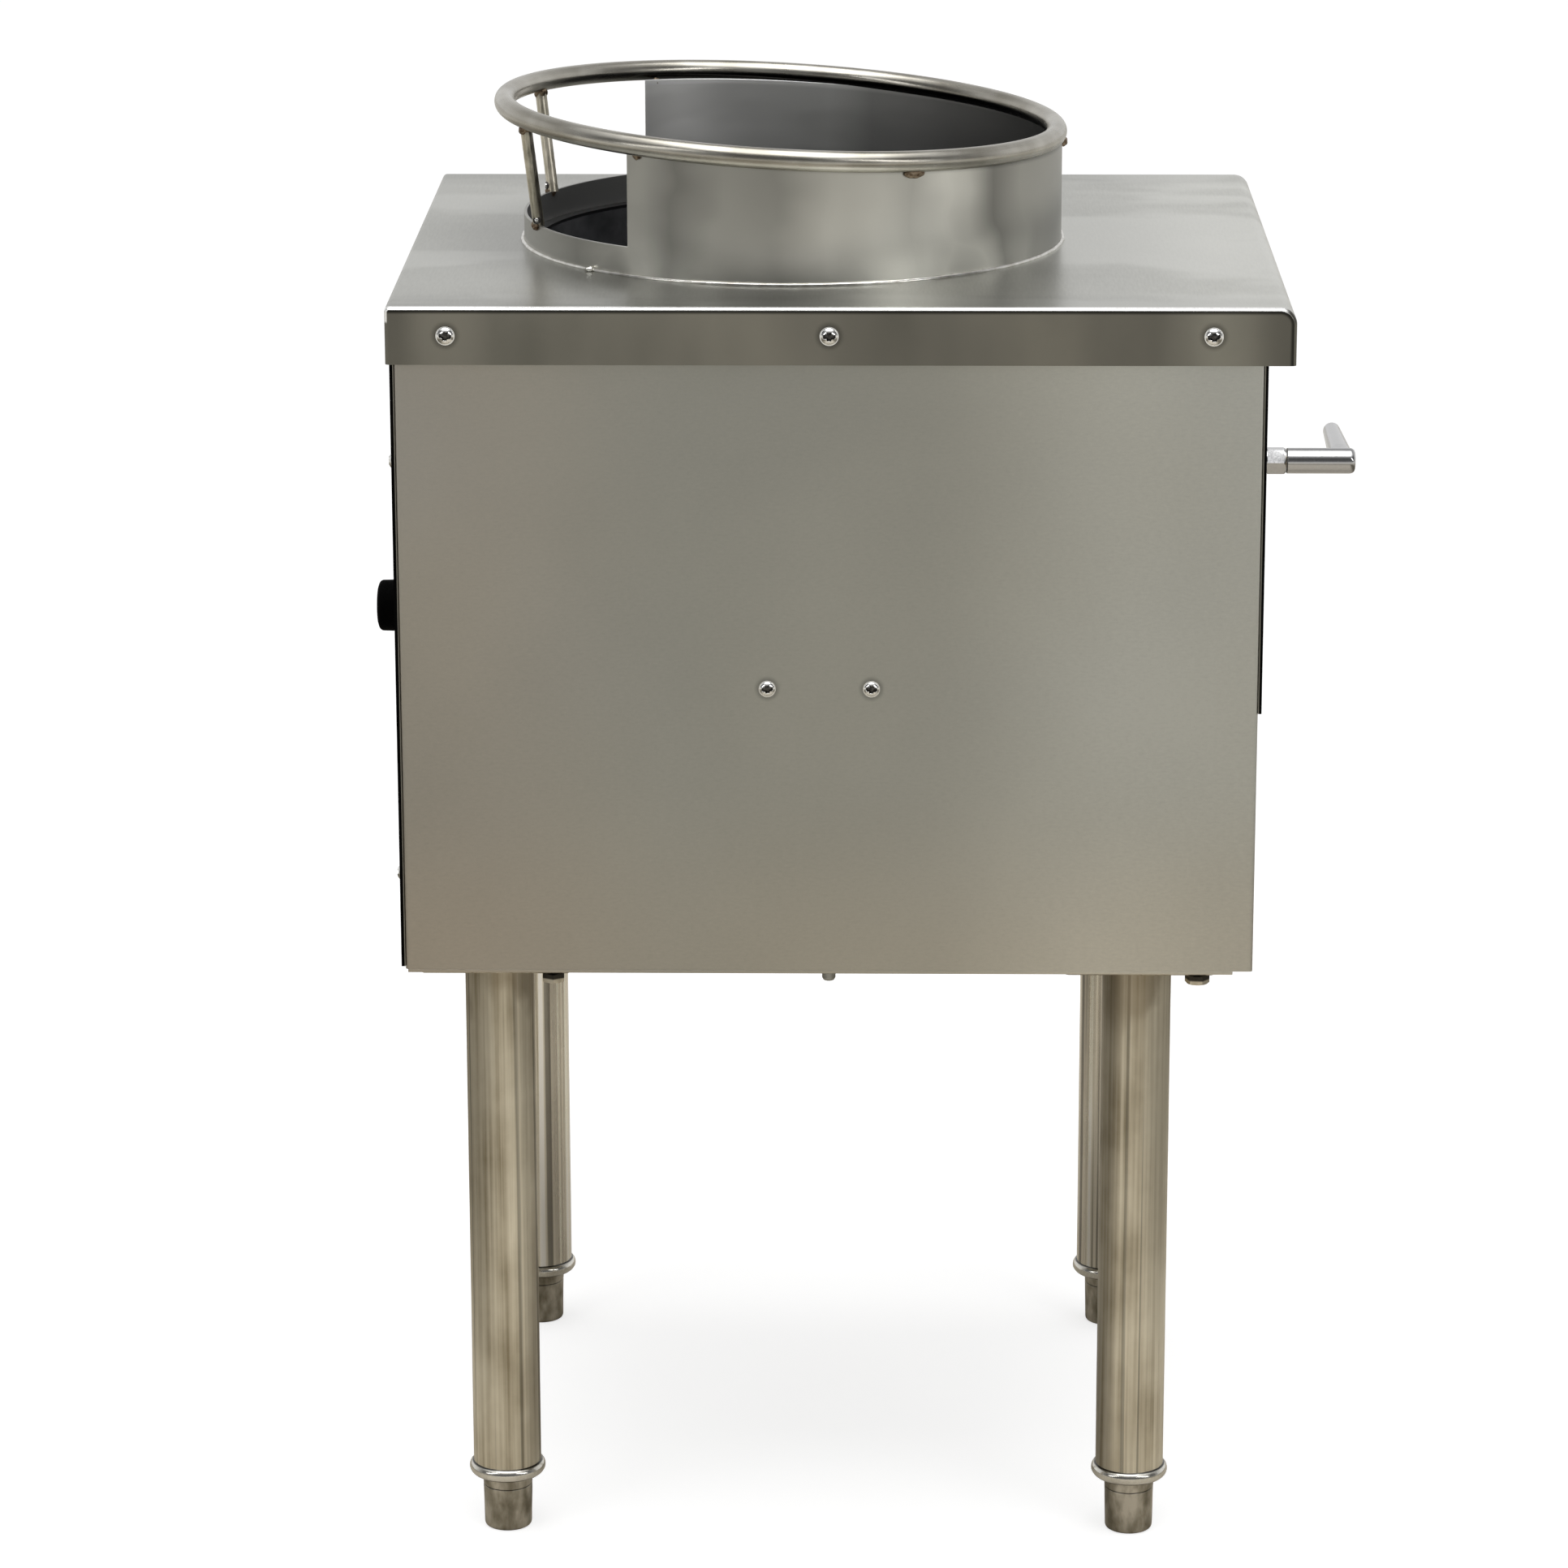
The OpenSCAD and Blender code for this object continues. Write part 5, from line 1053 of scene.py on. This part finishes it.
def panel_shape(side):
    """A folded sheet: an upright C with flanges at its foot and its top, all with rounded bends."""
    outer, sheet, flange, bend, foot = SIDE_X, 1.5, 18, 2.2, 32
    low, high, rear, front = PANEL_LOW.z, PANEL_HIGH.z, PANEL_HIGH.y, PANEL_LOW.y
    outline = rounded([
        (outer - flange, rear), (outer, rear, bend), (outer, front, bend), (outer - flange, front),
        (outer - flange, front + sheet), (outer - sheet, front + sheet, bend - sheet),
        (outer - sheet, rear - sheet, bend - sheet), (outer - flange, rear - sheet)])
    shape = prism([(side * x, y) for x, y in outline], low + bend, high)
    base = rounded([
        (outer, low + bend), (outer, low, bend), (outer - foot, low), (outer - foot, low + sheet),
        (outer - sheet, low + sheet, bend - sheet), (outer - sheet, low + bend)])
    start = front + 12
    across = Matrix(((side, 0, 0, 0), (0, 0, 1, start), (0, 1, 0, 0), (0, 0, 0, 1)))
    shape.join(prism(base, 0, rear - sheet - start), across)
    x0, x1 = sorted((side * (outer - flange), side * (outer - sheet)))
    y0, y1 = front + sheet, rear - sheet
    return shape.join(prism([(x0, y0), (x1, y0), (x1, y1), (x0, y1)], high - sheet, high))


def make_panels():
    for side, name in ((-1, "left"), (1, "right")):
        make("panel_" + name, panel_shape(side), "panel_steel", ["side_panel_" + name], bevel=0.2)


# Burner

def make_burner():
    low, high = span("burner_body")
    radius, height, floor = 70, high.z - low.z, 1.2
    axis = Vector((COLLAR.x, COLLAR.y, low.z))
    casting = rounded([
        (0, 0), (radius - 2, 0, 1), (radius, 2, 1), (radius, height - 5, 2),
        (radius - 6, height - 0.6, 1.5), (61, height - 0.2, 0.8), (59, height - floor, 0.8),
        (0, height - floor)], 4)
    shape = lathe(casting, 120, False, ripple(2, 8, 0.2)).moved(put(axis))
    socket = rounded([(8.05, 0), (12.85, 0, 2), (12.85, 19, 1), (8.05, 19)], 4)
    shape.join(lathe(socket, 64, True), put((axis.x, axis.y - radius + 5, axis.z + height / 2), (0, -1, 0)))
    make("burner_casting", shape, "burner_iron", ["burner_body"])
    spots = [polar(0, 0)]
    spots += [polar(27, angle + pi / 2) for angle in angles(6)]
    spots += [polar(55, angle + TURN / 24) for angle in angles(12)]
    nozzle = lathe(rounded([(1.2, 7), (4.8, 7, 0.4), (2.7, 24, 0.5), (1.2, 24)], 3), 28, True)
    jets = Shape()
    for k, spot in enumerate(axis + spot + Vector((0, 0, height - floor)) for spot in spots):
        jets.join(hex_head(12, 8.2, 0.8), put(spot, turn=0.4 * k))
        jets.join(nozzle, put(spot + Vector((0, 0, 1.2))))
    make("burner_nozzles", jets, "jet_brass", ["burner_jets"], smooth=30)


# Floor, world and lights

def make_floor():
    """A pale floor. In reflections it is a workshop's: beige before the range, and darker to the sides."""
    size = 60.0
    mesh = bpy.data.meshes.new("floor")
    corners = [(-size, -size, 0), (size, -size, 0), (size, size, 0), (-size, size, 0)]
    mesh.from_pydata(corners, [], [[0, 1, 2, 3]])
    f = Finish("floor", 0.0, 0.9, specular=0.0)
    far = f.length(f.x, f.y)
    tones = f.ramp(f.math("DIVIDE", far, 4000), [
        (0.3, (0.6, 0.555, 0.475)), (0.4, (0.45, 0.42, 0.365)), (0.56, (0.46, 0.435, 0.38)),
        (0.68, (0.64, 0.61, 0.54)), (0.8, (0.92, 0.9, 0.84)), (0.9, (1.0, 0.98, 0.93))])
    side = f.times(f.grade(f.size(f.y), 320, 850), f.grade(far, 1300, 2100, 1.0, 0.0))
    f.colour(f.mix(side, tones, (0.16, 0.145, 0.115)))
    pale = f.add("ShaderNodeBsdfDiffuse", {0: (0.5, 0.5, 0.5, 1)})
    glow = f.add("ShaderNodeEmission", {0: (1, 1, 1, 1), 1: 0.7})
    seen = f.add("ShaderNodeAddShader", {0: pale, 1: glow})
    direct = f.add("ShaderNodeLightPath").outputs["Is Camera Ray"]
    both = f.add("ShaderNodeMixShader", {0: direct, 1: f.shader, 2: seen})
    f.tree.links.new(both.outputs[0], f.out.inputs[0])
    mesh.materials.append(f.material)
    floor = add_object("floor", mesh)


def make_world():
    """A studio: a light wall beyond the range's right side, a dim room to its left, light from above."""
    world = bpy.data.worlds.new("studio")
    bpy.context.scene.world = world
    world.use_nodes = True
    w = Nodes(world.node_tree)
    spot = w.add("ShaderNodeTexCoord").outputs["Generated"]
    x, _, z = w.add("ShaderNodeSeparateXYZ", {0: spot}).outputs
    room = w.ramp(z, [(0.0, 0.3), (0.12, 0.17), (0.28, 0.1), (0.55, 0.12), (0.66, 0.32), (0.8, 0.92),
                      (0.92, 1.2), (1.0, 1.15)])
    wall = w.ramp(z, [(0.0, 0.8), (0.35, 0.76), (0.62, 0.48), (0.82, 0.42), (0.94, 0.85), (1.0, 1.15)])
    studio = w.add("ShaderNodeBackground", {0: w.mix(w.grade(x, -0.25, 0.35), room, wall)})
    plain = w.add("ShaderNodeBackground", {0: (1, 1, 1, 1)})
    seen = w.add("ShaderNodeLightPath").outputs["Is Camera Ray"]
    both = w.add("ShaderNodeMixShader", {0: seen, 1: studio, 2: plain})
    w.add("ShaderNodeOutputWorld", {0: both})


def make_light(name, point, size, watts, toward=(0.0, 0.0, 0.6)):
    data = bpy.data.lights.new(name, "AREA")
    data.shape = "RECTANGLE"
    data.size, data.size_y = size
    data.energy = watts
    add_object(name, data).matrix_world = put(point, Vector(point) - Vector(toward))


make_top()
make_collar()
make_ring()
make_struts()
make_screws()
make_bolts()
make_legs()
make_handle()
make_bonnet()
make_cap()
make_panels()
make_burner()
dress_nodes()
make_floor()
make_world()
make_light("overhead", (-0.4, 0.0, 3.2), (2.6, 2.6), 45)
make_light("front_strip", (-2.4, -2.4, 1.9), (0.5, 2.2), 14)
make_light("rear_strip", (-2.2, 2.5, 1.9), (0.5, 2.2), 10)

bpy.context.scene.view_settings.view_transform = "Standard"
